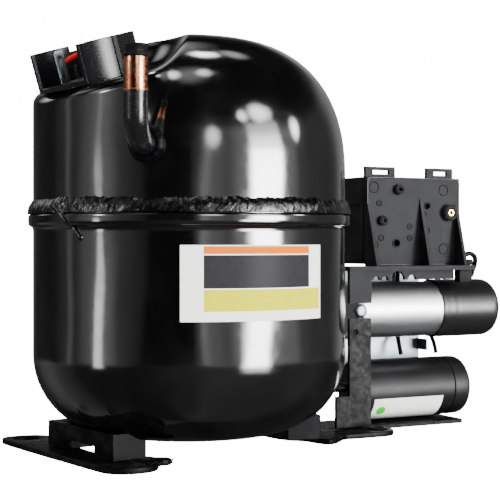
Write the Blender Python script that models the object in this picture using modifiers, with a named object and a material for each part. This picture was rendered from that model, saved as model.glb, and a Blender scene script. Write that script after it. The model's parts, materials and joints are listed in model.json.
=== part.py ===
"""Hermetic reciprocating compressor: welded shell, pump and motor inside, capacitors and relay box outside.

Metres, +Z up.  The shell's axis is vertical and stands at FRAME_X, FRAME_Y.
The relay box, the capacitors and the cylinder all point along +X.
"""

import math

import bmesh
import bpy
from mathutils import Matrix, Vector

MM = 0.001

# Where the shell's axis stands, so that the whole object is centred on the origin.
FRAME_X = -71.5 * MM
FRAME_Y = -6.6 * MM

GAP = 0.3 * MM            # left between pieces that touch
ROUND_STEPS = 48          # sides of a large round piece
CUP_STEPS = 60            # sides of the upper cup, which isn't round everywhere
SMALL_STEPS = 16          # sides of a small round piece

# Shell: two drawn steel cups with a welded seam.
SHELL_RADIUS = 95 * MM
SHELL_WALL = 3 * MM
SHELL_BOTTOM = 7 * MM
BOWL_RADIUS = 48 * MM     # corner of the lower cup
BOWL_CENTRE_Z = 60 * MM
SEAM_Z = 138 * MM         # the ledge the upper cup stands on
LIP_RADIUS = 98 * MM
LIP_TOP = 143 * MM
DOME_FLAT = 15 * MM       # the dome is flat within this distance of the axis
DOME_START_Z = 165 * MM
DOME_TOP = 250 * MM
DOME_POWER = 2.4          # 2 would be an ellipse; more is squarer

# Facet: the flat slope on the shell that carries the terminals.
FACET_TILT = math.radians(17)
FACET_ANGLE = math.radians(190.7)   # the way it slopes down
FACET_EDGE_Z = 212 * MM             # its height at the shell's wall
FACET_CENTRE = 92.6 * MM            # its centre's distance from the axis
FACET_FLAT = 64 * MM                # flat within this distance of its centre
FACET_NARROW = 1.15                 # how many times narrower it is across than along
FACET_FADE = 79 * MM                # fully dome beyond this distance
FACET_ROUND = 6 * MM
TERMINAL_REACH = 70 * MM            # distance of the terminals from the axis

# Feet.
FOOT_THICK = 3.5 * MM
FOOT_HOLE_RADIUS = 8.7 * MM
EAR_HOLE_RADIUS = 3.7 * MM
REAR_HOLE_LEFT = (-83 * MM, 66 * MM)
REAR_HOLE_RIGHT = (82 * MM, 66 * MM)
EAR_HOLE = (135 * MM, -2 * MM)

# Tubes.
SUCTION_ANGLE = math.radians(-128.4)
SUCTION_Z = 180 * MM
SUCTION_REACH = 117 * MM
SUCTION_RADIUS = 6.5 * MM
SUCTION_TOP = 224 * MM
DISCHARGE_ANGLE = math.radians(102)
DISCHARGE_Z = 176 * MM
DISCHARGE_REACH = 109 * MM
DISCHARGE_RADIUS = 4.8 * MM
DISCHARGE_TOP = 206 * MM
TUBE_WALL = 1 * MM

# Motor, all about the shell's axis.
STATOR_RADIUS = 65 * MM
STATOR_BORE = 37 * MM
STATOR_LOW = 50 * MM
STATOR_HIGH = 110 * MM
WINDING_OUTER = 51 * MM
WINDING_INNER = 38.5 * MM
ROTOR_RADIUS = 36.4 * MM
SHAFT_RADIUS = 10 * MM
BOLT_CIRCLE = 58 * MM
SPRING_CIRCLE = 60 * MM

# Pump: the crank turns about Z, the cylinder lies along +X.
CRANK_THROW = 11 * MM
ROD_LENGTH = 40 * MM
CYLINDER_Z = 170 * MM
BORE_RADIUS = 17.2 * MM
PISTON_RADIUS = 16.9 * MM
WRIST_X = CRANK_THROW + ROD_LENGTH
WEB_LOW = 146.3 * MM
WEB_HIGH = 152.3 * MM
BLOCK_START = 34 * MM
BLOCK_END = 66 * MM
PIN_RADIUS = 7 * MM
WRIST_RADIUS = 4 * MM

# Relay box and capacitors.
PANEL_LEFT = 140 * MM
PANEL_RIGHT = 216.5 * MM
PANEL_FRONT = 20 * MM
PANEL_THICK = 2.5 * MM
PANEL_TOP = 171 * MM
SHELF_TOP = 110.5 * MM
SHELF_THICK = 3 * MM
SHELF_FRONT = 7 * MM
COVER_BACK = 72 * MM
RUN_Y = 33 * MM
RUN_Z = 80 * MM
RUN_RADIUS = 19.1 * MM
RUN_START = 129 * MM
RUN_END = 236 * MM
SLEEVE_START = 199 * MM
SLEEVE_END = 248 * MM
START_Y = 36 * MM
START_Z = 25 * MM
START_RADIUS = 20.5 * MM
START_START = 139 * MM
START_END = 224 * MM
UPRIGHT_LEFT = 119 * MM
UPRIGHT_RIGHT = 136 * MM
UPRIGHT_FRONT = 8 * MM

FINISHES = {
    "black_enamel": ((0.012, 0.012, 0.013), 0.0, 0.18),
    "black_steel": ((0.02, 0.02, 0.021), 0.0, 0.45),
    "weld_metal": ((0.03, 0.028, 0.026), 0.3, 0.6),
    "black_plastic": ((0.02, 0.02, 0.022), 0.0, 0.5),
    "grey_plastic": ((0.075, 0.078, 0.082), 0.0, 0.55),
    "rubber": ((0.025, 0.025, 0.025), 0.0, 0.8),
    "copper": ((0.72, 0.33, 0.2), 1.0, 0.3),
    "aluminium": ((0.7, 0.7, 0.71), 1.0, 0.35),
    "zinc": ((0.55, 0.56, 0.57), 1.0, 0.45),
    "cast_iron": ((0.16, 0.16, 0.16), 0.8, 0.6),
    "steel": ((0.45, 0.45, 0.46), 1.0, 0.3),
    "red_plastic": ((0.5, 0.03, 0.02), 0.0, 0.5),
    "white_plastic": ((0.7, 0.7, 0.68), 0.0, 0.5),
}


def fresh_collection(name):
    """A new collection linked into the scene."""
    made = bpy.data.collections.new(name)
    bpy.context.scene.collection.children.link(made)
    return made


for old in list(bpy.data.objects):
    bpy.data.objects.remove(old, do_unlink=True)
PARTS = fresh_collection("hermetic_compressor")
CUTTERS = fresh_collection("cutters")


def add_empty(name, at, parent=None, turn=(0, 0, 0)):
    """An empty that holds pieces at a place."""
    empty = bpy.data.objects.new(name, None)
    PARTS.objects.link(empty)
    empty.parent = parent
    empty.location = at
    empty.rotation_euler = turn
    return empty


FRAME = add_empty("frame", (FRAME_X, FRAME_Y, 0))


def make_material(name, finish):
    """A Principled material for one piece."""
    colour, metallic, roughness = FINISHES[finish]
    material = bpy.data.materials.new(f"{name}_{finish}")
    material.use_nodes = True
    shader = material.node_tree.nodes["Principled BSDF"]
    shader.inputs["Base Color"].default_value = (*colour, 1)
    shader.inputs["Metallic"].default_value = metallic
    shader.inputs["Roughness"].default_value = roughness
    material.diffuse_color = (*colour, 1)
    return material


def add_piece(name, data, finish, at=(0, 0, 0), turn=(0, 0, 0), parent=None):
    """Link one named piece, with its own material, under its parent."""
    piece = bpy.data.objects.new(name, data)
    PARTS.objects.link(piece)
    piece.parent = parent or FRAME
    piece.location = at
    piece.rotation_euler = turn
    data.materials.append(make_material(name, finish))
    return piece


def mesh_from(name, build):
    """A mesh made by a function that fills a bmesh."""
    shape = bmesh.new()
    build(shape)
    mesh = bpy.data.meshes.new(name)
    shape.to_mesh(mesh)
    shape.free()
    return mesh


def block_mesh(name, low, high):
    """A box between two corners."""
    size = [b - a for a, b in zip(low, high)]
    middle = [(a + b) / 2 for a, b in zip(low, high)]
    place = Matrix.Translation(middle) @ Matrix.Diagonal((*size, 1))
    return mesh_from(name, lambda shape: bmesh.ops.create_cube(shape, size=1, matrix=place))


def rod_mesh(name, radius, start, end, steps=SMALL_STEPS, end_radius=None):
    """A cylinder or cone between two points."""
    start, end = Vector(start), Vector(end)
    along = end - start
    place = Matrix.Translation((start + end) / 2) @ along.to_track_quat("Z", "Y").to_matrix().to_4x4()
    tip = radius if end_radius is None else end_radius
    return mesh_from(name, lambda shape: bmesh.ops.create_cone(
        shape, cap_ends=True, segments=steps, radius1=radius, radius2=tip,
        depth=along.length, matrix=place))


def block(name, low, high, finish, bevel=0.0, **where):
    """A box piece, with rounded edges when bevel is given."""
    piece = add_piece(name, block_mesh(name, low, high), finish, **where)
    if bevel:
        round_edges(piece, bevel)
    return piece


def rod(name, radius, start, end, finish, steps=SMALL_STEPS, **where):
    """A cylinder piece."""
    return add_piece(name, rod_mesh(name, radius, start, end, steps), finish, **where)


def turned(name, profile, finish, steps=ROUND_STEPS, closed=False, **where):
    """A profile of (radius, height) spun about Z; its outer side runs from top to bottom."""
    mesh = bpy.data.meshes.new(name)
    edges = [(i, i + 1) for i in range(len(profile) - 1)]
    if closed:
        edges.append((len(profile) - 1, 0))
    mesh.from_pydata([(radius, 0, height) for radius, height in profile], edges, [])
    piece = add_piece(name, mesh, finish, **where)
    spin = piece.modifiers.new("spin", "SCREW")
    spin.steps = steps
    spin.render_steps = steps
    spin.use_merge_vertices = True
    spin.merge_threshold = 0.00001
    spin.use_smooth_shade = True
    return piece


def bolt_profile(head_radius, head, shank_radius, length):
    """Profile of a plain screw: its head's underside is at height 0 and the shank hangs below."""
    return [(0, head), (head_radius, head), (head_radius, 0), (shank_radius, 0),
            (shank_radius, -length), (0, -length)]


def round_edges(piece, width, segments=2):
    """A Bevel modifier on the sharp edges."""
    bevel = piece.modifiers.new("round", "BEVEL")
    bevel.width = width
    bevel.segments = segments
    bevel.limit_method = "ANGLE"
    bevel.angle_limit = math.radians(50)


def as_cutter(name, mesh, turn=(0, 0, 0), at=(0, 0, 0), parent=None):
    """A hidden object used only by Booleans."""
    cutter = bpy.data.objects.new(name, mesh)
    CUTTERS.objects.link(cutter)
    cutter.parent = parent or FRAME
    cutter.location = at
    cutter.rotation_euler = turn
    cutter.hide_render = True
    cutter.display_type = "WIRE"
    return cutter


def combine(piece, tool, operation):
    """A Boolean modifier with the exact solver."""
    step = piece.modifiers.new(f"{operation.lower()}_{tool.name}"[:60], "BOOLEAN")
    step.operation = operation
    step.object = tool
    step.solver = "EXACT"


def cut(piece, name, mesh, **where):
    """Cut a mesh out of a piece."""
    combine(piece, as_cutter(name, mesh, **where), "DIFFERENCE")


def join(piece, name, mesh, **where):
    """Join a mesh onto a piece."""
    combine(piece, as_cutter(name, mesh, **where), "UNION")


def smooth(piece, angle=35):
    """Smooth shading with the sharp edges kept."""
    for face in piece.data.polygons:
        face.use_smooth = True
    piece.data.set_sharp_from_angle(angle=math.radians(angle))


def circle_points(centre, radius, steps=SMALL_STEPS):
    """Points round a circle."""
    return [(centre[0] + radius * math.cos(2 * math.pi * i / steps),
             centre[1] + radius * math.sin(2 * math.pi * i / steps)) for i in range(steps)]


def plate(name, outline, holes, thick, finish, **where):
    """A flat plate: a filled 2D outline with holes, its middle plane at height 0."""
    curve = bpy.data.curves.new(name, "CURVE")
    curve.dimensions = "2D"
    curve.fill_mode = "BOTH"
    curve.extrude = thick / 2
    for points in [outline, *holes]:
        spline = curve.splines.new("POLY")
        spline.points.add(len(points) - 1)
        for point, (x, y) in zip(spline.points, points):
            point.co = (x, y, 0, 1)
        spline.use_cyclic_u = True
    return add_piece(name, curve, finish, **where)


def wire_curve(name, points, radius, fineness=2):
    """A round wire through the points."""
    curve = bpy.data.curves.new(name, "CURVE")
    curve.dimensions = "3D"
    curve.bevel_depth = radius
    curve.bevel_resolution = fineness
    curve.use_fill_caps = True
    spline = curve.splines.new("POLY")
    spline.points.add(len(points) - 1)
    for point, place in zip(spline.points, points):
        point.co = (*place, 1)
    return curve


def wire(name, points, radius, finish, fineness=2, **where):
    """A wire or solid tube piece."""
    return add_piece(name, wire_curve(name, points, radius, fineness), finish, **where)


def curve_to_mesh(name, curve):
    """The closed mesh of a wire, with its caps joined on."""
    holder = bpy.data.objects.new(name, curve)
    bpy.context.scene.collection.objects.link(holder)
    bpy.context.view_layer.update()
    drawn = holder.evaluated_get(bpy.context.evaluated_depsgraph_get())
    mesh = bpy.data.meshes.new_from_object(drawn)
    bpy.data.objects.remove(holder, do_unlink=True)
    shape = bmesh.new()
    shape.from_mesh(mesh)
    bmesh.ops.remove_doubles(shape, verts=shape.verts, dist=0.00001)
    shape.to_mesh(mesh)
    shape.free()
    mesh.name = name
    return mesh


def polar(radius, angle, height):
    """A point at a radius and angle about the shell's axis."""
    return (radius * math.cos(angle), radius * math.sin(angle), height)


def arc(centre, radius, first, last, count):
    """Points of (x, y) round an arc, angles in degrees."""
    return [(centre[0] + radius * math.cos(math.radians(first + (last - first) * i / count)),
             centre[1] + radius * math.sin(math.radians(first + (last - first) * i / count)))
            for i in range(count + 1)]


# ---------------------------------------------------------------- shell

def bowl_points(offset, count=6):
    """Outline of the lower cup's corner, offset inwards, from its wall down to the axis."""
    corner = arc((SHELL_RADIUS - BOWL_RADIUS, BOWL_CENTRE_Z), BOWL_RADIUS - offset, 0, -82, count)
    return corner + [(24 * MM, SHELL_BOTTOM + 1.6 * MM + offset), (0, SHELL_BOTTOM + offset)]


def make_lower_shell():
    """The lower cup, flared at its rim to take the upper one."""
    inner = bowl_points(SHELL_WALL)
    outer = bowl_points(0)
    rim = [
        (SHELL_RADIUS - SHELL_WALL, SEAM_Z),
        (SHELL_RADIUS + GAP, SEAM_Z),
        (SHELL_RADIUS + GAP, LIP_TOP),
        (LIP_RADIUS - 0.8 * MM, LIP_TOP),
        (LIP_RADIUS, LIP_TOP - 1 * MM),
        (LIP_RADIUS, SEAM_Z - 0.6 * MM),
        (LIP_RADIUS - 1.2 * MM, SEAM_Z - 1.8 * MM),
        (SHELL_RADIUS, SEAM_Z - 2.4 * MM),
    ]
    return turned("lower_shell", inner[::-1] + rim + outer, "black_enamel")


def facet_height(x, y):
    """Height of the facet's plane at a point."""
    out = x * math.cos(FACET_ANGLE) + y * math.sin(FACET_ANGLE)
    return FACET_EDGE_Z + (SHELL_RADIUS - out) * math.tan(FACET_TILT)


def fade(value, full, none):
    """1 below full, 0 above none, smooth between."""
    t = min(max((value - full) / (none - full), 0), 1)
    return 1 - t * t * (3 - 2 * t)


def dome_height(radius):
    """Height of the plain dome at a distance from the axis: a squared-off quarter ellipse."""
    out = max(radius - DOME_FLAT, 0) / (SHELL_RADIUS - DOME_FLAT)
    return DOME_START_Z + (DOME_TOP - DOME_START_Z) * max(1 - out ** DOME_POWER, 0) ** (1 / DOME_POWER)


def cup_height(radius, angle):
    """Height of the upper cup: the dome, drawn over to the round-edged facet near its centre."""
    x, y, _ = polar(radius, angle, 0)
    along = x * math.cos(FACET_ANGLE) + y * math.sin(FACET_ANGLE) - FACET_CENTRE
    across = y * math.cos(FACET_ANGLE) - x * math.sin(FACET_ANGLE)
    weight = fade(math.hypot(along, across * FACET_NARROW), FACET_FLAT, FACET_FADE)
    out = max(radius - (SHELL_RADIUS - FACET_ROUND), 0)
    drop = FACET_ROUND - math.sqrt(max(FACET_ROUND ** 2 - out ** 2, 0))
    return dome_height(radius) * (1 - weight) + (facet_height(x, y) - drop) * weight


def make_upper_shell():
    """The upper cup as an open surface given its wall by Solidify, then its three holes."""
    angles = [2 * math.pi * i / CUP_STEPS for i in range(CUP_STEPS)]
    rows = [[polar(SHELL_RADIUS, angle, height) for angle in angles]
            for height in (SEAM_Z + GAP, DOME_START_Z - 6 * MM)]
    for radius in (95, 94.5, 93, 90, 85, 78, 70, 61, 51, 40, 29, 16):
        rows.append([polar(radius * MM, angle, cup_height(radius * MM, angle)) for angle in angles])
    points = [point for row in rows for point in row]
    top = len(points)
    points.append((0, 0, DOME_TOP + 0.4 * MM))
    faces = []
    for low in range(len(rows) - 1):
        for i in range(CUP_STEPS):
            right = (i + 1) % CUP_STEPS
            faces.append((low * CUP_STEPS + i, low * CUP_STEPS + right,
                          (low + 1) * CUP_STEPS + right, (low + 1) * CUP_STEPS + i))
    last = (len(rows) - 1) * CUP_STEPS
    faces += [(last + i, last + (i + 1) % CUP_STEPS, top) for i in range(CUP_STEPS)]
    mesh = bpy.data.meshes.new("upper_shell")
    mesh.from_pydata(points, [], faces)
    shell = add_piece("upper_shell", mesh, "black_enamel")
    smooth(shell)
    wall = shell.modifiers.new("wall", "SOLIDIFY")
    wall.thickness = SHELL_WALL
    wall.offset = -1
    wall.use_even_offset = True
    for name, angle, height, radius in (
            ("suction_hole", SUCTION_ANGLE, SUCTION_Z, SUCTION_RADIUS),
            ("discharge_hole", DISCHARGE_ANGLE, DISCHARGE_Z, DISCHARGE_RADIUS)):
        cut(shell, name, rod_mesh(name, radius + GAP, polar(80 * MM, angle, height),
                                  polar(110 * MM, angle, height)))
    cut(shell, "terminal_hole", rod_mesh("terminal_hole", HEADER_RADIUS + GAP, (0, 0, -12 * MM),
                                         (0, 0, 12 * MM), 24), parent=TERMINAL_FRAME)
    return shell


def make_weld_bead():
    """The fillet of weld in the corner between the two cups."""
    inside = SHELL_RADIUS + GAP
    profile = [
        (inside, LIP_TOP + 8.5 * MM),
        (inside + 1.6 * MM, LIP_TOP + 7.4 * MM),
        (LIP_RADIUS - 0.2 * MM, LIP_TOP + 4.6 * MM),
        (LIP_RADIUS + 0.3 * MM, LIP_TOP + 2 * MM),
        (LIP_RADIUS - 0.4 * MM, LIP_TOP + GAP),
        (inside, LIP_TOP + GAP),
    ]
    turned("seam_weld", profile, "weld_metal", closed=True)


# ---------------------------------------------------------------- feet

def bowl_cutter(name):
    """A solid just larger than the lower cup, to shape what lies against it."""
    corner = bowl_points(-GAP)
    profile = [(0, 90 * MM), (SHELL_RADIUS + GAP, 90 * MM)] + corner
    mesh = bpy.data.meshes.new(name)
    mesh.from_pydata([(r, 0, z) for r, z in profile],
                     [(i, i + 1) for i in range(len(profile) - 1)], [])
    cutter = as_cutter(name, mesh)
    spin = cutter.modifiers.new("spin", "SCREW")
    spin.steps = ROUND_STEPS
    spin.render_steps = ROUND_STEPS
    spin.use_merge_vertices = True
    spin.merge_threshold = 0.00001
    return cutter


def make_feet():
    """Two stamped foot plates; the right one has an ear with a bolt hole."""
    left = [(-98, 68), (-96, 75), (-90, 79), (-74, 78), (-67, 72), (-65, 60), (-66, -2), (-54, -27),
            (-40, -32), (-39, -37), (-31, -40), (-33, -49), (-41, -48), (-46, -60), (-53, -66),
            (-66, -67), (-76, -61), (-79, -53)]
    right = [(74, 78), (67, 72), (63, 60), (62, 20), (68, -1), (76, -6), (80, -23), (84, -27),
             (91, -24), (102, -13), (108, -13), (134, -14), (142, -11), (146, -2), (142, 6),
             (134, 10), (112, 12), (98.5, 16), (98.5, 68), (96, 75), (90, 79)]
    for name, outline, holes in (
            ("left_foot", left, [(REAR_HOLE_LEFT, FOOT_HOLE_RADIUS)]),
            ("right_foot", right, [(REAR_HOLE_RIGHT, FOOT_HOLE_RADIUS), (EAR_HOLE, EAR_HOLE_RADIUS)])):
        plate(name, [(x * MM, y * MM) for x, y in outline],
              [circle_points(centre, radius) for centre, radius in holes],
              FOOT_THICK, "black_steel", at=(0, 0, FOOT_THICK / 2))


def make_saddles(bowl):
    """The arched walls between the feet and the lower cup."""
    for name, centre, lean in (("left_saddle", (-63, -5), 10), ("right_saddle", (73, 15), -8)):
        low = (-11 * MM, -38 * MM, FOOT_THICK + GAP)
        high = (11 * MM, 38 * MM, 19 * MM)
        place = {"at": (centre[0] * MM, centre[1] * MM, 0), "turn": (0, 0, math.radians(lean))}
        saddle = block(name, low, high, "black_steel", **place)
        cut(saddle, f"{name}_arch", block_mesh(name, (-20 * MM, -17 * MM, 0), (20 * MM, 17 * MM, 10 * MM)),
            **place)
        combine(saddle, bowl, "DIFFERENCE")


def make_base_arm():
    """The flat bar that carries the electrical parts, with a turned-up end."""
    low = (99 * MM, 17 * MM, 0)
    arm = block("base_arm", low, (217 * MM, 52 * MM, 3 * MM), "black_steel")
    join(arm, "arm_lip", block_mesh("arm_lip", (160 * MM, 49 * MM, 1 * MM), (216 * MM, 52 * MM, 9 * MM)))


# ---------------------------------------------------------------- tubes

def make_tube(name, angle, height, reach, top, radius, finish):
    """A tube that leaves the shell level and bends upwards, with its bore cut through."""
    bend = 15 * MM
    inside = 86 * MM
    centre_line = [polar(inside, angle, height), polar(reach - bend, angle, height)]
    for i in range(1, 6):
        turn = math.radians(90 * i / 6)
        centre_line.append(polar(reach - bend + bend * math.sin(turn), angle,
                                 height + bend * (1 - math.cos(turn))))
    centre_line += [polar(reach, angle, height + bend), polar(reach, angle, top)]
    bore_line = [polar(inside - 5 * MM, angle, height)] + centre_line[1:-1]
    bore_line.append(polar(reach, angle, top + 5 * MM))
    tube = add_piece(name, curve_to_mesh(name, wire_curve(name, centre_line, radius, 4)), finish)
    smooth(tube)
    cut(tube, f"{name}_bore", curve_to_mesh(f"{name}_bore",
                                            wire_curve(name, bore_line, radius - TUBE_WALL, 4)))


def make_plug(name, angle, reach, top, radius):
    """A rubber plug: a head over the tube's mouth and a stem inside it."""
    stem = radius - TUBE_WALL - 0.6 * MM
    profile = [
        (0, 7.2 * MM),
        (radius * 0.97, 7.2 * MM),
        (radius, 6.4 * MM),
        (radius * 0.9, 2.2 * MM),
        (radius * 1.03, 1.6 * MM),
        (radius * 1.03, GAP),
        (stem, GAP),
        (stem * 0.9, -9 * MM),
        (0, -9 * MM),
    ]
    turned(name, profile, "rubber", steps=SMALL_STEPS, at=polar(reach, angle, top))


def make_collar():
    """The ring brazed round the suction tube where it enters the shell."""
    profile = [
        (SUCTION_RADIUS + GAP, 2 * MM),
        (9.2 * MM, 2 * MM),
        (10.2 * MM, 1.2 * MM),
        (10.4 * MM, -1.4 * MM),
        (SUCTION_RADIUS + GAP, -1.4 * MM),
    ]
    at = polar(SHELL_RADIUS + 2 * MM, SUCTION_ANGLE, SUCTION_Z)
    collar = turned("suction_collar", profile, "black_enamel", steps=24, closed=True, at=at,
                    turn=(0, math.radians(90), SUCTION_ANGLE))
    wall = rod_mesh("collar_fit", SHELL_RADIUS + GAP, (0, 0, 160 * MM), (0, 0, 200 * MM), ROUND_STEPS * 2)
    cut(collar, "collar_fit", wall)


# ---------------------------------------------------------------- terminals

HEADER_RADIUS = 14 * MM
TERMINAL_PLACE = polar(TERMINAL_REACH, FACET_ANGLE, 0)
TERMINAL_FRAME = add_empty(
    "terminal_frame", (*TERMINAL_PLACE[:2], facet_height(*TERMINAL_PLACE[:2])), FRAME,
    (0, FACET_TILT, FACET_ANGLE))
FENCE_RADIUS = 31 * MM
FENCE_HIGH = 23.5 * MM
PIN_CIRCLE = 6.5 * MM


def make_terminals():
    """The fused header, its three pins, the fence, the overload protector and its lead."""
    header = turned("terminal_header", [
        (0, 3.4 * MM), (11 * MM, 3.4 * MM), (12 * MM, 2.6 * MM), (HEADER_RADIUS + 3 * MM, 2.4 * MM),
        (HEADER_RADIUS + 3 * MM, GAP), (HEADER_RADIUS, GAP), (HEADER_RADIUS - 0.6 * MM, -6 * MM),
        (0, -6 * MM)], "steel", steps=24, parent=TERMINAL_FRAME)
    for i in range(3):
        angle = math.radians(90 + 120 * i)
        x = PIN_CIRCLE * math.cos(angle)
        y = PIN_CIRCLE * math.sin(angle)
        cut(header, f"pin_hole_{i + 1}", rod_mesh("pin_hole", 2 * MM, (x, y, -20 * MM), (x, y, 20 * MM), 12),
            parent=TERMINAL_FRAME)
        rod(f"terminal_pin_{i + 1}", 1.6 * MM, (x, y, -14 * MM), (x, y, 12 * MM), "steel", 12,
            parent=TERMINAL_FRAME)

    fence = turned("terminal_fence", [
        (FENCE_RADIUS - 2 * MM, FENCE_HIGH), (FENCE_RADIUS, FENCE_HIGH), (FENCE_RADIUS, GAP),
        (FENCE_RADIUS - 9 * MM, GAP), (FENCE_RADIUS - 9 * MM, 2 * MM), (FENCE_RADIUS - 2 * MM, 2 * MM)],
        "black_plastic", steps=36, closed=True, parent=TERMINAL_FRAME)
    window = block_mesh("window", (20 * MM, -16.9 * MM, 3 * MM), (40 * MM, 16.9 * MM, 40 * MM))
    cut(fence, "fence_window", window, parent=TERMINAL_FRAME, turn=(0, 0, math.radians(19)))
    notch = block_mesh("notch", (-18 * MM, -40 * MM, 19.5 * MM), (-8 * MM, -12 * MM, 40 * MM))
    cut(fence, "fence_notch", notch, parent=TERMINAL_FRAME)

    protector = turned("overload_protector", [
        (0, 11 * MM), (8 * MM, 11 * MM), (9 * MM, 10 * MM), (9 * MM, GAP * 3), (0, GAP * 3)],
        "black_plastic", steps=24, parent=TERMINAL_FRAME, at=(-19.2 * MM, 0.5 * MM, 3.4 * MM))
    cut(protector, "protector_fit",
        rod_mesh("protector_fit", HEADER_RADIUS + 3.6 * MM, (0, 0, -5 * MM), (0, 0, 4 * MM), 24),
        parent=TERMINAL_FRAME)
    block("spade_tab", (16.7 * MM, 5.6 * MM, 3.2 * MM), (23 * MM, 6.4 * MM, 22 * MM), "zinc",
          parent=TERMINAL_FRAME)
    wire("protector_lead", [(x * MM, y * MM, z * MM) for x, y, z in (
        (19.8, 3.4, 8), (19, 1.5, 12.5), (12, 4, 16.5), (2, 9, 18.5), (-8, 9, 19), (-16, 3, 19),
        (-18, 1, 16))],
        1.5 * MM, "red_plastic", 1, parent=TERMINAL_FRAME)


# ---------------------------------------------------------------- motor

def ring(name, inner, outer, low, high, finish, steps=ROUND_STEPS, **where):
    """A plain ring between two heights."""
    return turned(name, [(inner, high), (outer, high), (outer, low), (inner, low)], finish,
                  steps=steps, closed=True, **where)


def make_motor():
    """Stator, windings, rotor and the bolts that hang the stator under the crankcase."""
    stator = ring("stator_core", STATOR_BORE, STATOR_RADIUS, STATOR_LOW, STATOR_HIGH, "steel")
    for i in range(4):
        angle = math.radians(45 + 90 * i)
        x, y, _ = polar(BOLT_CIRCLE, angle, 0)
        cut(stator, f"stator_bolt_hole_{i + 1}",
            rod_mesh("bolt_hole", 2.8 * MM, (x, y, 30 * MM), (x, y, 130 * MM), 12))
        turned(f"stator_bolt_{i + 1}", bolt_profile(4.2 * MM, 4 * MM, 2.5 * MM, 74 * MM), "steel",
               steps=12, at=(x, y, STATOR_LOW - GAP), turn=(math.pi, 0, 0))
    for name, low, high in (("lower_winding", 31 * MM, STATOR_LOW - GAP),
                            ("upper_winding", STATOR_HIGH + GAP, 124 * MM)):
        bulge = 3 * MM
        turned(name, [
            (WINDING_INNER + bulge, high), (WINDING_OUTER - bulge, high), (WINDING_OUTER, high - bulge),
            (WINDING_OUTER, low + bulge), (WINDING_OUTER - bulge, low), (WINDING_INNER + bulge, low),
            (WINDING_INNER, low + bulge), (WINDING_INNER, high - bulge)],
            "copper", closed=True, steps=32)
    ring("rotor", SHAFT_RADIUS + GAP, ROTOR_RADIUS, 48 * MM, 112 * MM, "aluminium")


# ---------------------------------------------------------------- pump

def make_crankcase():
    """The cast crankcase: main bearing, plate, four legs and the cylinder block."""
    case = turned("crankcase", [
        (SHAFT_RADIUS + GAP, WEB_LOW - GAP), (17 * MM, WEB_LOW - GAP), (19 * MM, 133 * MM),
        (64 * MM, 133 * MM), (64 * MM, 126 * MM), (19 * MM, 126 * MM), (17 * MM, 114 * MM),
        (SHAFT_RADIUS + GAP, 114 * MM)], "cast_iron", closed=True)
    for i in range(4):
        angle = math.radians(45 + 90 * i)
        x, y, _ = polar(BOLT_CIRCLE, angle, 0)
        join(case, f"case_leg_{i + 1}", rod_mesh("case_leg", 5.5 * MM, (x, y, STATOR_HIGH + GAP),
                                                 (x, y, 130 * MM)))
    join(case, "cylinder_block", block_mesh("cylinder_block", (BLOCK_START, -22 * MM, 130 * MM),
                                            (BLOCK_END, 22 * MM, 192 * MM)))
    cut(case, "cylinder_bore", rod_mesh("cylinder_bore", BORE_RADIUS, (20 * MM, 0, CYLINDER_Z),
                                        (80 * MM, 0, CYLINDER_Z), 32))
    for i in range(4):
        angle = math.radians(45 + 90 * i)
        x, y, _ = polar(BOLT_CIRCLE, angle, 0)
        cut(case, f"case_bolt_hole_{i + 1}",
            rod_mesh("case_bolt_hole", 2.8 * MM, (x, y, 100 * MM), (x, y, 125 * MM), 12))


def make_crankshaft():
    """The shaft with its web and counterweight, and the oil pickup pressed into its foot."""
    shaft = turned("crankshaft", [
        (0, WEB_HIGH), (19 * MM, WEB_HIGH), (19 * MM, WEB_LOW), (SHAFT_RADIUS, WEB_LOW),
        (SHAFT_RADIUS, 36 * MM), (0, 36 * MM)], "steel", steps=32)
    weight = arc((0, 0), 30 * MM, 115, 245, 10)
    weight += [(-4 * MM, -15 * MM), (-4 * MM, 15 * MM)]
    height = WEB_HIGH - WEB_LOW - 0.4 * MM

    def build(shape):
        low = [shape.verts.new((x, y, WEB_LOW + 0.2 * MM)) for x, y in weight]
        base = shape.faces.new(low)
        grown = bmesh.ops.extrude_face_region(shape, geom=[base])
        lifted = [v for v in grown["geom"] if isinstance(v, bmesh.types.BMVert)]
        bmesh.ops.translate(shape, verts=lifted, vec=(0, 0, height))
        bmesh.ops.recalc_face_normals(shape, faces=shape.faces)

    join(shaft, "counterweight", mesh_from("counterweight", build))
    turned("oil_pickup", [
        (0, 35.7 * MM), (7 * MM, 35.7 * MM), (7 * MM, 26 * MM), (3.2 * MM, 13 * MM), (0, 13 * MM)],
        "steel", steps=SMALL_STEPS)


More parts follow.
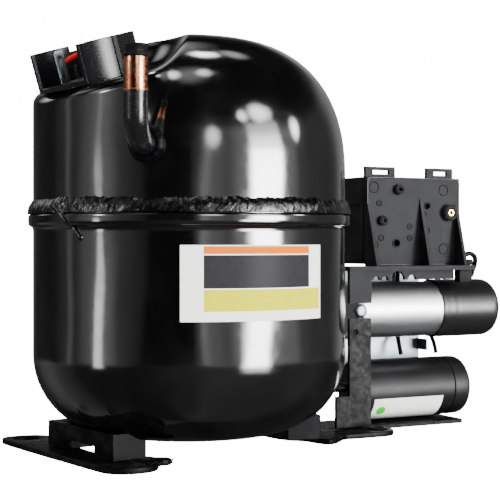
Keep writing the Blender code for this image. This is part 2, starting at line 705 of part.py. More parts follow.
def make_running_gear():
    """Piston, wrist pin, connecting rod and crankpin, shown with the piston at the top of its stroke."""
    piston_axis = add_empty("piston_axis", (WRIST_X, 0, CYLINDER_Z), FRAME)
    rod_axis = add_empty("rod_axis", (WRIST_X, 0, CYLINDER_Z), FRAME)
    skirt = -8 * MM
    crown = 13.2 * MM
    hollow = 13.4 * MM
    piston = turned("piston", [
        (0, crown), (PISTON_RADIUS - 0.5 * MM, crown), (PISTON_RADIUS, crown - 0.5 * MM),
        (PISTON_RADIUS, skirt), (hollow, skirt), (hollow, 8.5 * MM), (0, 8.5 * MM)],
        "steel", steps=32, parent=piston_axis, turn=(0, math.radians(90), 0))
    cut(piston, "wrist_hole", rod_mesh("wrist_hole", WRIST_RADIUS + GAP, (0, 0, -30 * MM),
                                       (0, 0, 30 * MM)), parent=piston_axis)
    rod("wrist_pin", WRIST_RADIUS, (0, 0, -15.5 * MM), (0, 0, 15.5 * MM), "steel", parent=piston_axis)

    big = 13 * MM
    small = 7.5 * MM
    slope = math.degrees(math.asin((big - small) / ROD_LENGTH))
    outline = arc((0, 0), small, -90 + slope, 90 - slope, 8)
    outline += arc((-ROD_LENGTH, 0), big, 90 - slope, 270 + slope, 14)
    holes = [circle_points((0, 0), WRIST_RADIUS + GAP), circle_points((-ROD_LENGTH, 0), PIN_RADIUS + GAP, 20)]
    plate("connecting_rod", outline, holes, 12 * MM, "steel", parent=rod_axis)
    rod("crankpin", PIN_RADIUS, (-ROD_LENGTH, 0, WEB_HIGH + GAP - CYLINDER_Z), (-ROD_LENGTH, 0, 8 * MM),
        "steel", 20, parent=rod_axis)


def make_valves():
    """Valve plate with its two ports, the two reeds, and the cylinder head over them."""
    face = BLOCK_END + GAP
    back = face + 3 * MM
    half = 21 * MM
    valve_plate = block("valve_plate", (face, -half, CYLINDER_Z - half), (back, half, CYLINDER_Z + half),
                        "steel")
    for name, y in (("suction_port", -6 * MM), ("discharge_port", 6 * MM)):
        cut(valve_plate, name, rod_mesh(name, 3 * MM, (60 * MM, y, CYLINDER_Z + 4 * MM),
                                        (80 * MM, y, CYLINDER_Z + 4 * MM), 12))
    root = CYLINDER_Z - 11 * MM
    for name, y, x in (("suction_reed", -6 * MM, face - GAP - 0.2 * MM),
                       ("discharge_reed", 6 * MM, back + GAP + 0.2 * MM)):
        axis = add_empty(f"{name}_axis", (x, y, root), FRAME)
        block(name, (-0.2 * MM, -4 * MM, 0), (0.2 * MM, 4 * MM, 20 * MM), "steel", parent=axis)
    near = back + GAP
    far = 82 * MM
    head = block("cylinder_head", (near, -half, CYLINDER_Z - half), (far, half, CYLINDER_Z + half),
                 "cast_iron")
    for name, low, high in (("suction_chamber", -14 * MM, -1.2 * MM), ("discharge_chamber", 1.2 * MM, 14 * MM)):
        cut(head, name, block_mesh(name, (60 * MM, low, CYLINDER_Z - 13 * MM),
                                   (far - 4 * MM, high, CYLINDER_Z + 13 * MM)))
    for i in range(4):
        y = 17.5 * MM * (1 if i % 2 else -1)
        z = CYLINDER_Z + 17.5 * MM * (1 if i < 2 else -1)
        join(head, f"head_screw_{i + 1}", rod_mesh("head_screw", 3 * MM, (far - 3 * MM, y, z),
                                                   (far + 3 * MM, y, z), 6))


def make_gas_path():
    """Suction muffler and the springy loop that takes the gas from the head to the shell."""
    muffler = block("suction_muffler", (22 * MM, -56 * MM, 136 * MM), (58 * MM, -23 * MM, 186 * MM),
                    "white_plastic", bevel=4 * MM)
    join(muffler, "muffler_inlet", rod_mesh("muffler_inlet", 5 * MM, (28 * MM, -40 * MM, 180 * MM),
                                            (28 * MM, -40 * MM, 196 * MM)))
    top = CYLINDER_Z + 21 * MM + GAP
    points = [(76 * MM, 8 * MM, top), (76 * MM, 8 * MM, top + 8 * MM), (74 * MM, 14 * MM, top + 11 * MM)]
    for i in range(1, 9):
        share = i / 9
        points.append(polar(77 * MM, math.radians(14 + 88 * share), top + 11 * MM - 20 * MM * share))
    points.append(polar(80 * MM, DISCHARGE_ANGLE, DISCHARGE_Z))
    points.append(polar(85.5 * MM, DISCHARGE_ANGLE, DISCHARGE_Z))
    wire("discharge_loop", points, 2.4 * MM, "copper", 1)


def make_springs():
    """Four coil springs that carry the stator on the bowl."""
    turns = 4
    per_turn = 9
    low = 22 * MM
    high = STATOR_LOW - 3.6 * MM
    for i in range(4):
        angle = math.radians(90 * i)
        x, y, _ = polar(SPRING_CIRCLE, angle, 0)
        points = []
        for step in range(turns * per_turn + 1):
            sweep = 2 * math.pi * step / per_turn
            points.append((x + 6 * MM * math.cos(sweep), y + 6 * MM * math.sin(sweep),
                           low + (high - low) * step / (turns * per_turn)))
        wire(f"suspension_spring_{i + 1}", points, 1 * MM, "steel", 0)


# ---------------------------------------------------------------- relay box and capacitors

def gusset_mesh(name, x, foot, top):
    """A thin triangular web between the shelf and the panel."""
    half = 1.2 * MM

    def build(shape):
        corners = [(SHELF_FRONT + 0.6 * MM, foot), (PANEL_FRONT + 1 * MM, foot), (PANEL_FRONT + 1 * MM, top)]
        near = shape.faces.new([shape.verts.new((x - half, y, z)) for y, z in corners])
        grown = bmesh.ops.extrude_face_region(shape, geom=[near])
        moved = [v for v in grown["geom"] if isinstance(v, bmesh.types.BMVert)]
        bmesh.ops.translate(shape, verts=moved, vec=(2 * half, 0, 0))
        bmesh.ops.recalc_face_normals(shape, faces=shape.faces)

    return mesh_from(name, build)


def make_relay_panel():
    """The front panel with its shelf, webs, bosses, holes, comb and leg."""
    panel = block("relay_panel", (PANEL_LEFT, PANEL_FRONT, SHELF_TOP - SHELF_THICK),
                  (PANEL_RIGHT, PANEL_FRONT + PANEL_THICK, PANEL_TOP), "grey_plastic")
    join(panel, "panel_shelf", block_mesh("shelf", (UPRIGHT_LEFT, SHELF_FRONT, SHELF_TOP - SHELF_THICK - 0.2 * MM),
                                          (220 * MM, PANEL_FRONT + 1 * MM, SHELF_TOP)))
    for i, (x, top) in enumerate(((141.6, 158), (184, 161), (213.6, 158))):
        join(panel, f"panel_web_{i + 1}", gusset_mesh("web", x * MM, SHELF_TOP - 1 * MM, top * MM))
    for i, (x, z, radius) in enumerate(((165.5, 162.5, 3.6), (152.5, 141.2, 3.4), (207, 147, 5.8))):
        join(panel, f"panel_boss_{i + 1}", rod_mesh("boss", radius * MM, (x * MM, PANEL_FRONT - 3 * MM, z * MM),
                                                    (x * MM, PANEL_FRONT + 1 * MM, z * MM)))
    for i, (x, z, radius) in enumerate((
            (165.5, 162.5, 1.4), (152.5, 141.2, 1.1), (207, 147, 2.6), (164, 125.8, 2.2), (189.5, 151.5, 1.7))):
        cut(panel, f"panel_hole_{i + 1}", rod_mesh("hole", radius * MM, (x * MM, 5 * MM, z * MM),
                                                   (x * MM, 30 * MM, z * MM), 12))
    join(panel, "panel_leg", block_mesh("leg", (UPRIGHT_LEFT, SHELF_FRONT + 0.4 * MM, 86 * MM),
                                        (UPRIGHT_RIGHT, SHELF_FRONT + 3.4 * MM, SHELF_TOP - 1 * MM)))
    join(panel, "panel_comb", block_mesh("comb", (138.5 * MM, 12 * MM, 101 * MM),
                                         (206 * MM, 14.5 * MM, SHELF_TOP - 1 * MM)))
    for i, (x, half) in enumerate(((143, 2.7), (149.6, 2.7), (159.6, 6), (171.5, 3.4))):
        cut(panel, f"comb_arch_{i + 1}", rod_mesh("arch", half * MM, (x * MM, 8 * MM, 101 * MM),
                                                  (x * MM, 20 * MM, 101 * MM), 12))


def make_relay_cover():
    """The box behind the panel, with two loops that snap over its top, and the relay inside."""
    start = PANEL_FRONT + PANEL_THICK + GAP
    cover = block("relay_cover", (PANEL_LEFT, start, SHELF_TOP + 1 * MM), (PANEL_RIGHT, COVER_BACK, PANEL_TOP),
                  "grey_plastic", bevel=0.8 * MM)
    wall = 2 * MM
    cut(cover, "cover_inside", block_mesh("inside", (PANEL_LEFT + wall, start - 10 * MM, SHELF_TOP + 1 * MM + wall),
                                          (PANEL_RIGHT - wall, COVER_BACK - wall, PANEL_TOP - wall)))
    for i, (low, high) in enumerate(((141, 165), (191, 213))):
        loop = block_mesh("loop", (low * MM, start + 0.4 * MM, PANEL_TOP - 1 * MM),
                          (high * MM, start + 3 * MM, PANEL_TOP + 7 * MM))
        join(cover, f"cover_loop_{i + 1}", loop)
        slot = block_mesh("slot", ((low + 6) * MM, start - 5 * MM, PANEL_TOP + 2 * MM),
                          ((high - 5) * MM, start + 9 * MM, PANEL_TOP + 4.6 * MM))
        cut(cover, f"cover_slot_{i + 1}", slot)
    block("start_relay", (168 * MM, start + 1 * MM, 116 * MM), (200 * MM, 58 * MM, 150 * MM), "black_plastic",
          bevel=1 * MM)


def make_capacitors():
    """Run capacitor with its plastic sleeve, and start capacitor with its end cap."""
    level = {"turn": (0, math.radians(90), 0)}
    length = RUN_END - RUN_START
    turned("run_capacitor", [
        (0, length), (RUN_RADIUS - 1 * MM, length), (RUN_RADIUS, length - 1 * MM), (RUN_RADIUS, 4 * MM),
        (RUN_RADIUS + 0.4 * MM, 3 * MM), (RUN_RADIUS + 0.4 * MM, 1 * MM), (RUN_RADIUS - 0.4 * MM, 0),
        (RUN_RADIUS - 2.4 * MM, 0), (RUN_RADIUS - 3 * MM, 1.6 * MM), (0, 1.6 * MM)],
        "aluminium", at=(RUN_START, RUN_Y, RUN_Z), steps=40, **level)
    long = SLEEVE_END - SLEEVE_START
    inner = RUN_RADIUS + GAP
    outer = inner + 0.9 * MM
    turned("run_capacitor_sleeve", [
        (0, long), (outer - 6 * MM, long), (outer - 2 * MM, long - 2 * MM), (outer - 0.4 * MM, long - 6 * MM),
        (outer, long - 9 * MM), (outer, 0), (inner, 0), (inner, long - 9 * MM), (inner - 4 * MM, long - 2 * MM),
        (0, long - 1.4 * MM)],
        "black_plastic", at=(SLEEVE_START, RUN_Y, RUN_Z), steps=40, **level)
    span = START_END - START_START
    turned("start_capacitor", [
        (0, span - 3 * MM), (START_RADIUS - 1.6 * MM, span - 3 * MM), (START_RADIUS - 1.6 * MM, span - 14 * MM),
        (START_RADIUS, span - 14 * MM), (START_RADIUS, 0.8 * MM), (START_RADIUS - 0.8 * MM, 0), (0, 0)],
        "black_plastic", at=(START_START, START_Y, START_Z), steps=40, **level)
    turned("start_capacitor_cap", [
        (0, 15 * MM), (START_RADIUS - 4 * MM, 15 * MM), (START_RADIUS - 1 * MM, 13.4 * MM),
        (START_RADIUS, 11 * MM), (START_RADIUS, GAP), (START_RADIUS - 1.3 * MM, GAP),
        (START_RADIUS - 1.3 * MM, 11 * MM + GAP), (0, 11 * MM + GAP)],
        "black_plastic", at=(START_END - 14 * MM, START_Y, START_Z), steps=40, **level)


def make_brackets():
    """Zinc back plate, the painted upright, its strap to the shell and the screw under the box's leg."""
    back = block("zinc_plate", (141 * MM, 57.5 * MM, 3.3 * MM), (208 * MM, 59 * MM, 109 * MM), "zinc")
    join(back, "zinc_tab", block_mesh("zinc_tab", (206.5 * MM, 46 * MM, 49 * MM), (208 * MM, 58 * MM, 57 * MM)))
    upright = block("upright_bracket", (UPRIGHT_LEFT, UPRIGHT_FRONT, FOOT_THICK + GAP),
                    (UPRIGHT_RIGHT, UPRIGHT_FRONT + 2.5 * MM, 76 * MM), "black_steel")
    join(upright, "upright_toe", block_mesh("toe", (109 * MM, UPRIGHT_FRONT, FOOT_THICK + GAP),
                                            (UPRIGHT_RIGHT, UPRIGHT_FRONT + 2.5 * MM, 25 * MM)))
    cut(upright, "upright_hole", rod_mesh("hole", 1.5 * MM, (124 * MM, 0, 67 * MM), (124 * MM, 20 * MM, 67 * MM), 12))
    wire("upright_strap", [(91 * MM, 31 * MM, 30 * MM), (103 * MM, 18 * MM, 30 * MM), (119 * MM, 14.6 * MM, 30 * MM),
                           (134 * MM, 14.6 * MM, 30 * MM)], 3.2 * MM, "black_steel", 1)
    turned("leg_screw", [(0, 3 * MM), (3.6 * MM, 3 * MM), (4.6 * MM, 1.6 * MM), (4.6 * MM, 0), (2 * MM, 0),
                         (2 * MM, -5 * MM), (0, -5 * MM)], "steel", steps=SMALL_STEPS,
           at=(127 * MM, UPRIGHT_FRONT, 81 * MM), turn=(math.radians(90), 0, 0))


def make_leads():
    """The three leads between the box and the capacitors, each clipped along its whole way."""
    wire("run_lead", [(x * MM, y * MM, z * MM) for x, y, z in (
        (217, 15, 117), (222, 15, 118), (228, 17, 116), (232, 22, 112), (234, 28, 107), (234, 30.4, 102))],
        1.7 * MM, "black_plastic", 1)
    for name, top_x, foot_x in (("start_lead_1", 188, 184), ("start_lead_2", 214, 214)):
        middle = (top_x + foot_x) / 2
        wire(name, [(x * MM, y * MM, z * MM) for x, y, z in (
            (top_x, 54.8, 107), (top_x, 54.9, 74), (middle, 53, 62), (foot_x, 47, 54), (foot_x, 44.6, 47))],
            1.5 * MM, "black_plastic", 1)


make_lower_shell()
make_upper_shell()
make_weld_bead()
make_feet()
make_saddles(bowl_cutter("bowl_fit"))
make_base_arm()
make_tube("suction_tube", SUCTION_ANGLE, SUCTION_Z, SUCTION_REACH, SUCTION_TOP, SUCTION_RADIUS, "copper")
make_tube("discharge_tube", DISCHARGE_ANGLE, DISCHARGE_Z, DISCHARGE_REACH, DISCHARGE_TOP, DISCHARGE_RADIUS,
          "copper")
make_plug("suction_plug", SUCTION_ANGLE, SUCTION_REACH, SUCTION_TOP, SUCTION_RADIUS)
make_plug("discharge_plug", DISCHARGE_ANGLE, DISCHARGE_REACH, DISCHARGE_TOP, DISCHARGE_RADIUS)
make_collar()
make_terminals()
make_motor()
make_crankcase()
make_crankshaft()
make_running_gear()
make_valves()
make_gas_path()
make_springs()
make_relay_panel()
make_relay_cover()
make_capacitors()
make_brackets()
make_leads()
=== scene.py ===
import json
import math
import bmesh
import bpy
import numpy as np
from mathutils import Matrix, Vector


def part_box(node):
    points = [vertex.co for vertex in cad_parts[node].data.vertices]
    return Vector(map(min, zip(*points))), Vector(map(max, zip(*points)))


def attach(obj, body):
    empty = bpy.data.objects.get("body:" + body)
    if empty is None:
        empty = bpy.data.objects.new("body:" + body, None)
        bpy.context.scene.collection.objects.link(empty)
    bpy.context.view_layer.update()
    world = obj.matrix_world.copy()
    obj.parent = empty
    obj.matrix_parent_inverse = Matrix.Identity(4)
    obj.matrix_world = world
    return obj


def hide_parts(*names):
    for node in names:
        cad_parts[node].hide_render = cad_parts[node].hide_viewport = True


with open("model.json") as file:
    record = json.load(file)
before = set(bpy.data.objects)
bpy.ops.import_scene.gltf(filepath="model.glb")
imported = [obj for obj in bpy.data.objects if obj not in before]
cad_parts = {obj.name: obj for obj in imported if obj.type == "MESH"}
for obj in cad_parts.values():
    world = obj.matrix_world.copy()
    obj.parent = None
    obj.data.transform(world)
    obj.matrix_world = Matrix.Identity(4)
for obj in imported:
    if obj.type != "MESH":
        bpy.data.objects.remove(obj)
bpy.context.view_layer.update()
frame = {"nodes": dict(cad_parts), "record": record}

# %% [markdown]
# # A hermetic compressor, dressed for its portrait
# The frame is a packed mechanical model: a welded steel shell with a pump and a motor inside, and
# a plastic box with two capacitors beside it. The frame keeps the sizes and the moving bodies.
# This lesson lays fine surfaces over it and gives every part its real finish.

MM = 0.001
shell_low, shell_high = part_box("lower_shell")
AXIS = np.array([(shell_low[0] + shell_high[0]) / 2, (shell_low[1] + shell_high[1]) / 2, 0.0])

# %% [markdown]
# ## Camera, floor and lights
# The camera stands level with the middle of the shell, a little to its left, so the horizon cuts
# the object in half and the box shows beyond the shell. Black gloss paint shows only what it
# reflects, so the bright streaks are soft shapes on the sky that only reflections see, large soft
# panels light the matt surfaces, and the floor and sky are pale to the eye but dim in reflections,
# as with black cards round a product.

# %% Camera
def add_object(name, data):
    """A new object that holds the data, linked into the scene."""
    thing = bpy.data.objects.new(name, data)
    bpy.context.scene.collection.objects.link(thing)
    return thing


CAMERA_PLACE = AXIS + np.array([-0.329, -0.7268, 0.128])
camera_data = bpy.data.cameras.new("studio_camera")
camera_data.lens = 93.6
camera_data.sensor_width = 36.0
camera_data.shift_y = -0.02
camera_data.clip_start = 0.01
camera = add_object("studio_camera", camera_data)
camera.location = CAMERA_PLACE
camera.rotation_euler = (math.radians(90), 0, math.radians(-27))
bpy.context.scene.camera = camera
print("camera at", np.round(CAMERA_PLACE, 3))


# %% Colours and nodes
def srgb(code):
    """Linear RGBA of an sRGB hex colour: each channel c becomes ((c + 0.055) / 1.055) ** 2.4."""
    channels = np.array([int(code[i:i + 2], 16) / 255 for i in (1, 3, 5)])
    linear = np.where(channels <= 0.04045, channels / 12.92, ((channels + 0.055) / 1.055) ** 2.4)
    return (*linear.tolist(), 1.0)


def add_node(tree, kind, settings=None, **inputs):
    """Adds one node. settings are its properties; inputs are its sockets, by name or as _number."""
    node = tree.nodes.new("ShaderNode" + kind)
    for key, value in (settings or {}).items():
        setattr(node, key, value)
    for key, value in inputs.items():
        socket = node.inputs[int(key[1:])] if key.startswith("_") else node.inputs[key.replace("_", " ")]
        if isinstance(value, bpy.types.NodeSocket):
            tree.links.new(value, socket)
        else:
            socket.default_value = value
    return node


# %% [markdown]
# The reflections are painted on the sky as a photographer would set them: soft bands that stand on
# the horizon, and round lamps overhead. `turn` is degrees to the right of the camera as seen from
# the object, and `height` is degrees above the horizon. Only mirror rays see them; the eye sees a
# plain pale sky, and matt surfaces get an even light.

# %% Sky
CAMERA_RIGHT = (0.891, -0.454, 0.0)
CAMERA_BACK = (-0.454, -0.891, 0.0)
GLOW_POWER, GLOW_STRENGTH = 2.2, 60.0
MATT_LIGHT, SEEN_LIGHT, FLOOR_LIGHT = 1.8, 16.0, 1.2  # on matt surfaces, to the eye, and from the floor


def combine(tree, operation, *values):
    """The output of one math node over its two or three values."""
    inputs = {f"_{k}": value for k, value in enumerate(values)}
    return add_node(tree, "Math", {"operation": operation}, **inputs).outputs[0]


def add_ramp(factor, stops):
    """A smooth curve through (position, value) stops, positions from 0 to 1 and values up to 1."""
    node = add_node(sky_tree, "ValToRGB", Fac=factor)
    node.color_ramp.interpolation = "EASE"
    for place, value in stops[1:-1]:
        node.color_ramp.elements.new(place)
    for element, (place, value) in zip(node.color_ramp.elements, stops):
        element.position = place
        element.color = (value, value, value, 1)
    return node.outputs["Color"]


def direction(turn, height):
    """The unit vector that points turn degrees round and height degrees up."""
    turn, height = math.radians(turn), math.radians(height)
    level = math.cos(height)
    way = level * (np.array(CAMERA_BACK) * math.cos(turn) + np.array(CAMERA_RIGHT) * math.sin(turn))
    return tuple((way + np.array([0, 0, math.sin(height)])).tolist())


world = bpy.data.worlds.new("studio_sky")
bpy.context.scene.world = world
world.use_nodes = True
sky_tree = world.node_tree
sky = sky_tree.nodes["Background"]
sky.inputs["Color"].default_value = srgb("#FFFFFF")
gaze = add_node(sky_tree, "TexCoord").outputs["Generated"]
turned = combine(sky_tree, "ARCTAN2", *(
    add_node(sky_tree, "VectorMath", {"operation": "DOT_PRODUCT"}, _0=gaze, _1=way).outputs["Value"]
    for way in (CAMERA_RIGHT, CAMERA_BACK)))
turn_share = combine(sky_tree, "MULTIPLY_ADD", turned, 1 / (2 * math.pi), 0.5)
rise = add_node(sky_tree, "SeparateXYZ", Vector=gaze).outputs["Z"]
rise_share = combine(sky_tree, "MULTIPLY_ADD", rise, 0.5, 0.5)


def add_band(turns, heights):
    """A shade that follows the turn, times one that follows the height, from stops in degrees.

    The turn runs from -180 to 180. The sky's z is the sine of the height."""
    across = [(turn / 360 + 0.5, value) for turn, value in turns]
    up = [(math.sin(math.radians(height)) / 2 + 0.5, value) for height, value in heights]
    return combine(sky_tree, "MULTIPLY", add_ramp(turn_share, across), add_ramp(rise_share, up))


WALLS = [(-180, 0.10), (-148, 0.036), (-137, 0.03), (-115, 0.03), (-99, 0.06), (-94, 0.11), (-88, 0.065),
         (-75, 0.11), (-66, 0.14), (-57, 0.14), (-45, 0.08), (-36, 0.06), (-27, 0.015), (4, 0.01), (8, 0.08),
         (14, 0.18), (20, 0.135), (30, 0.115), (41, 0.16), (78, 0.15), (93, 0.09), (106, 0.068), (123, 0.056),
         (147, 0.09), (180, 0.10)]
LEFT_BOX = [(-180, 0.0), (-69, 0.0), (-65.5, 0.40), (-62, 0.40), (-58, 0.0), (180, 0.0)]
RIGHT_BOX = [(-180, 0.0), (42, 0.0), (51, 1.0), (66, 1.0), (73, 0.0), (180, 0.0)]
LOW_BOX = [(-180, 0.0), (36, 0.0), (47, 0.95), (59, 0.95), (68, 0.0), (180, 0.0)]
FLOORS = [(-180, 0.03), (-150, 0.03), (-125, 0.07), (-100, 0.06), (-80, 0.04), (-40, 0.035), (0, 0.055),
          (20, 0.07), (100, 0.062), (135, 0.035), (180, 0.025)]


walls = add_band(WALLS, [(-90, 0), (-9, 0), (-5, 1), (20, 1), (28, 0.45), (36, 0.2), (46, 0.1), (90, 0.05)])
left_box = add_band(LEFT_BOX, [(-90, 0), (-13, 0), (-7, 0.9), (-3, 1), (1, 0.75), (4, 0.45), (20, 0.4),
                               (27, 0), (90, 0)])
right_box = add_band(RIGHT_BOX, [(-90, 0), (-4.5, 0), (-2.5, 0.9), (0, 1), (8, 0.95), (13, 0.6), (23, 0.35),
                                 (30, 0), (90, 0)])
low_box = add_band(LOW_BOX, [(-90, 0), (-20, 0), (-12, 0.35), (-6, 0.9), (-3, 1), (-1.5, 0), (90, 0)])
floors = add_band(FLOORS, [(-90, 0.9), (-60, 0.9), (-22, 1), (-8, 1), (-5, 0), (90, 0)])
shade = walls
for box in (left_box, right_box, low_box):
    shade = combine(sky_tree, "MAXIMUM", shade, box)
shade = combine(sky_tree, "ADD", shade, floors)
# The shades run as the eye sees them; this power turns them into light.
glow = combine(sky_tree, "MULTIPLY", combine(sky_tree, "POWER", shade, GLOW_POWER), GLOW_STRENGTH)
LAMPS = ((160, 76.5, 4.5, 20), (145, 65, 5, 2), (-27.5, 70.5, 4, 13), (31, 73, 3.5, 9), (47, 31, 3.5, 14),
         (60, 32, 5, 18), (18.6, 17.7, 5.5, 9), (87, 20, 5, 22), (-62.5, 17, 4, 24), (-75, 30, 7, 1.8),
         (-131, 24, 10, 1.6), (-105, 35, 8, 0.8), (-45, 45, 12, 0.6), (-150, 60, 14, 1.5), (5, 72, 8, 1.2))
for turn, height, size, power in LAMPS:
    away = add_node(sky_tree, "VectorMath", {"operation": "DISTANCE"}, _0=gaze, _1=direction(turn, height))
    spread = math.radians(size)
    lamp = add_node(sky_tree, "MapRange", {"interpolation_type": "SMOOTHSTEP"}, Value=away.outputs["Value"],
                    From_Min=0.3 * spread, From_Max=1.6 * spread, To_Min=power, To_Max=0.0)
    glow = combine(sky_tree, "ADD", glow, lamp.outputs["Result"])
path = add_node(sky_tree, "LightPath")
matt_light = add_node(sky_tree, "Mix", _0=path.outputs["Is Glossy Ray"], _2=MATT_LIGHT, _3=glow).outputs[0]
seen = add_node(sky_tree, "Mix", _0=path.outputs["Is Camera Ray"], _2=matt_light, _3=SEEN_LIGHT).outputs[0]
sky_tree.links.new(seen, sky.inputs["Strength"])

# %% Floor
floor_mesh = bpy.data.meshes.new("studio_floor")
FLOOR_REACH, FLOOR_Z = 12.0, -0.0005
floor_mesh.from_pydata([(x * FLOOR_REACH, y * FLOOR_REACH, FLOOR_Z) for x, y in
                        ((-1, -1), (1, -1), (1, 1), (-1, 1))], [], [(0, 1, 2, 3)])
floor = add_object("studio_floor", floor_mesh)
floor_paint = bpy.data.materials.new("pale_matt_floor")
floor_paint.use_nodes = True
floor_shader = floor_paint.node_tree.nodes["Principled BSDF"]
floor_shader.inputs["Base Color"].default_value = srgb("#F2F2F1")
floor_shader.inputs["Roughness"].default_value = 0.9
floor_shader.inputs["Specular IOR Level"].default_value = 0.0
floor_path = add_node(floor_paint.node_tree, "LightPath")
floor_glow = add_node(floor_paint.node_tree, "Mix", _0=floor_path.outputs["Is Camera Ray"],
                      _2=FLOOR_LIGHT, _3=SEEN_LIGHT)
floor_shader.inputs["Emission Color"].default_value = srgb("#FFFFFF")
floor_paint.node_tree.links.new(floor_glow.outputs[0], floor_shader.inputs["Emission Strength"])
floor_mesh.materials.append(floor_paint)
floor.visible_glossy = False


# %% Lights
def add_panel(name, turn, height, distance, size, power):
    """A soft panel that faces the shell and lights matt surfaces only: the sky has its reflection."""
    data = bpy.data.lights.new(name, "AREA")
    data.shape = "RECTANGLE"
    data.size, data.size_y = size
    data.energy = power
    panel = add_object(name, data)
    aim = AXIS + np.array([0, 0, 0.13])
    panel.location = aim + np.array(direction(turn, height)) * distance
    panel.rotation_euler = (math.radians(90 - height), 0, math.radians(turn - 27))
    panel.visible_glossy = False
    return panel


for settings in (
        ("left_panel", -65, 20, 1.6, (0.6, 1.0), 12),
        ("right_panel", 58, 18, 1.6, (0.7, 0.7), 30),
        ("top_panel", 20, 74, 1.5, (0.8, 0.8), 20),
        ("back_panel", 165, 35, 1.8, (1.2, 0.8), 12)):
    add_panel(*settings)

# %% [markdown]
# ## Surfaces from arrays
# Almost every piece here is turned, bent or swept, so it is a sheet with two parameters. A grid of
# points worked out in one go with numpy gives even, clean faces at any fineness, and the same
# few helpers serve the shell, the tubes, the cans and the wires.


# %% Grid helpers
def grid_faces(rows, columns, wrap_rows, wrap_columns):
    """Quads of a grid: each joins (i, j), (i, j+1), (i+1, j+1) and (i+1, j)."""
    i = np.arange(rows if wrap_rows else rows - 1)
    j = np.arange(columns if wrap_columns else columns - 1)
    i, j = np.meshgrid(i, j, indexing="ij")
    down, right = (i + 1) % rows, (j + 1) % columns
    corners = [i * columns + j, i * columns + right, down * columns + right, down * columns + j]
    return np.stack(corners, axis=-1).reshape(-1, 4)


SLOT_OF_NODE = {part["node"]: part["material_slot"] for part in frame["record"]["subparts"]}


def dress(name, mesh, material, nodes=(), body="compressor", angle=40):
    """A mesh becomes a piece, smooth except at edges sharper than angle degrees.

    It rides its body, takes the finish it is given, and stands for the nodes, which it hides."""
    mesh.name = name
    mesh.shade_smooth()
    mesh.set_sharp_from_angle(angle=math.radians(angle))
    mesh.materials.clear()
    mesh.materials.append(material)
    piece = add_object(name, mesh)
    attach(piece, body)
    if nodes:
        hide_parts(*nodes)
    return piece


def add_piece(name, points, faces, material, **more):
    """Points in metres and lists of faces become one piece whose faces point outwards."""
    corners = points[np.concatenate([f[:, :3] for f in faces])]
    normal = np.cross(corners[:, 1] - corners[:, 0], corners[:, 2] - corners[:, 0])
    outward = ((corners.mean(axis=1) - points.mean(axis=0)) * normal).sum()
    if outward < 0:
        faces = [face[:, ::-1] for face in faces]
    mesh = bpy.data.meshes.new(name)
    mesh.from_pydata(points.tolist(), [], [f for face in faces for f in face.tolist()])
    return dress(name, mesh, material, **more)


def add_grid(name, grid, material, nodes=(), wrap_rows=False, ends=(True, True), wrap_columns=True,
             **more):
    """A grid of points (rows, columns, 3) in metres; ends close the first and last row with a fan."""
    rows, columns, _ = grid.shape
    points = grid.reshape(-1, 3)
    faces = [grid_faces(rows, columns, wrap_rows, wrap_columns)]
    if not wrap_rows and wrap_columns:
        j = np.arange(columns)
        for wanted, row, flip in ((ends[0], 0, True), (ends[1], rows - 1, False)):
            if wanted:
                points = np.vstack([points, grid[row].mean(axis=0)])
                fan = np.stack([row * columns + j, row * columns + (j + 1) % columns,
                                np.full(columns, len(points) - 1)], axis=-1)
                faces.append(fan[:, ::-1] if flip else fan)
    return add_piece(name, points, faces, material, nodes=nodes, **more)


def soften(points, rounds=2, closed=False):
    """Corner cutting: each side keeps its points at 1/4 and 3/4, again and again."""
    points = np.asarray(points, dtype=float)
    for _ in range(rounds):
        after = np.roll(points, -1, axis=0) if closed else points[1:]
        before = points if closed else points[:-1]
        cut = np.stack([before * 0.75 + after * 0.25, before * 0.25 + after * 0.75], axis=1)
        cut = cut.reshape(-1, points.shape[1])
        points = cut if closed else np.vstack([points[:1], cut, points[-1:]])
    return points


def respace(points, step):
    """The same path with points at even steps along its length, ends kept."""
    points = np.asarray(points, dtype=float)
    along = np.concatenate([[0], np.cumsum(np.linalg.norm(np.diff(points, axis=0), axis=1))])
    count = max(int(round(along[-1] / step)), 2) + 1
    wanted = np.linspace(0, along[-1], count)
    return np.stack([np.interp(wanted, along, points[:, k]) for k in range(points.shape[1])], axis=1)


def around(radius, angles, height):
    """Points at x = r cos a, y = r sin a, z = h, from arrays or numbers that fit each other."""
    return np.stack(np.broadcast_arrays(radius * np.cos(angles), radius * np.sin(angles), height), axis=-1)


def revolve(profile, columns):
    """Turns a profile of (radius, height) about the z axis."""
    profile = np.asarray(profile, dtype=float)
    return around(profile[:, :1], np.linspace(0, 2 * np.pi, columns, endpoint=False), profile[:, 1:2])


def unit(ways):
    """The same directions with length 1."""
    return ways / np.linalg.norm(ways, axis=1, keepdims=True)


def settle(points, origin=(0, 0, 0), x_axis=(1, 0, 0), z_axis=(0, 0, 1)):
    """Local millimetres to the row frame in metres: origin + x X + y (Z x X) + z Z, from the shell axis."""
    x_way, z_way = np.asarray(x_axis, float), np.asarray(z_axis, float)
    y_way = np.cross(z_way, x_way)
    local = np.asarray(points, float)
    turned = local[..., :1] * x_way + local[..., 1:2] * y_way + local[..., 2:3] * z_way
    return (turned + np.asarray(origin, float)) * MM + AXIS


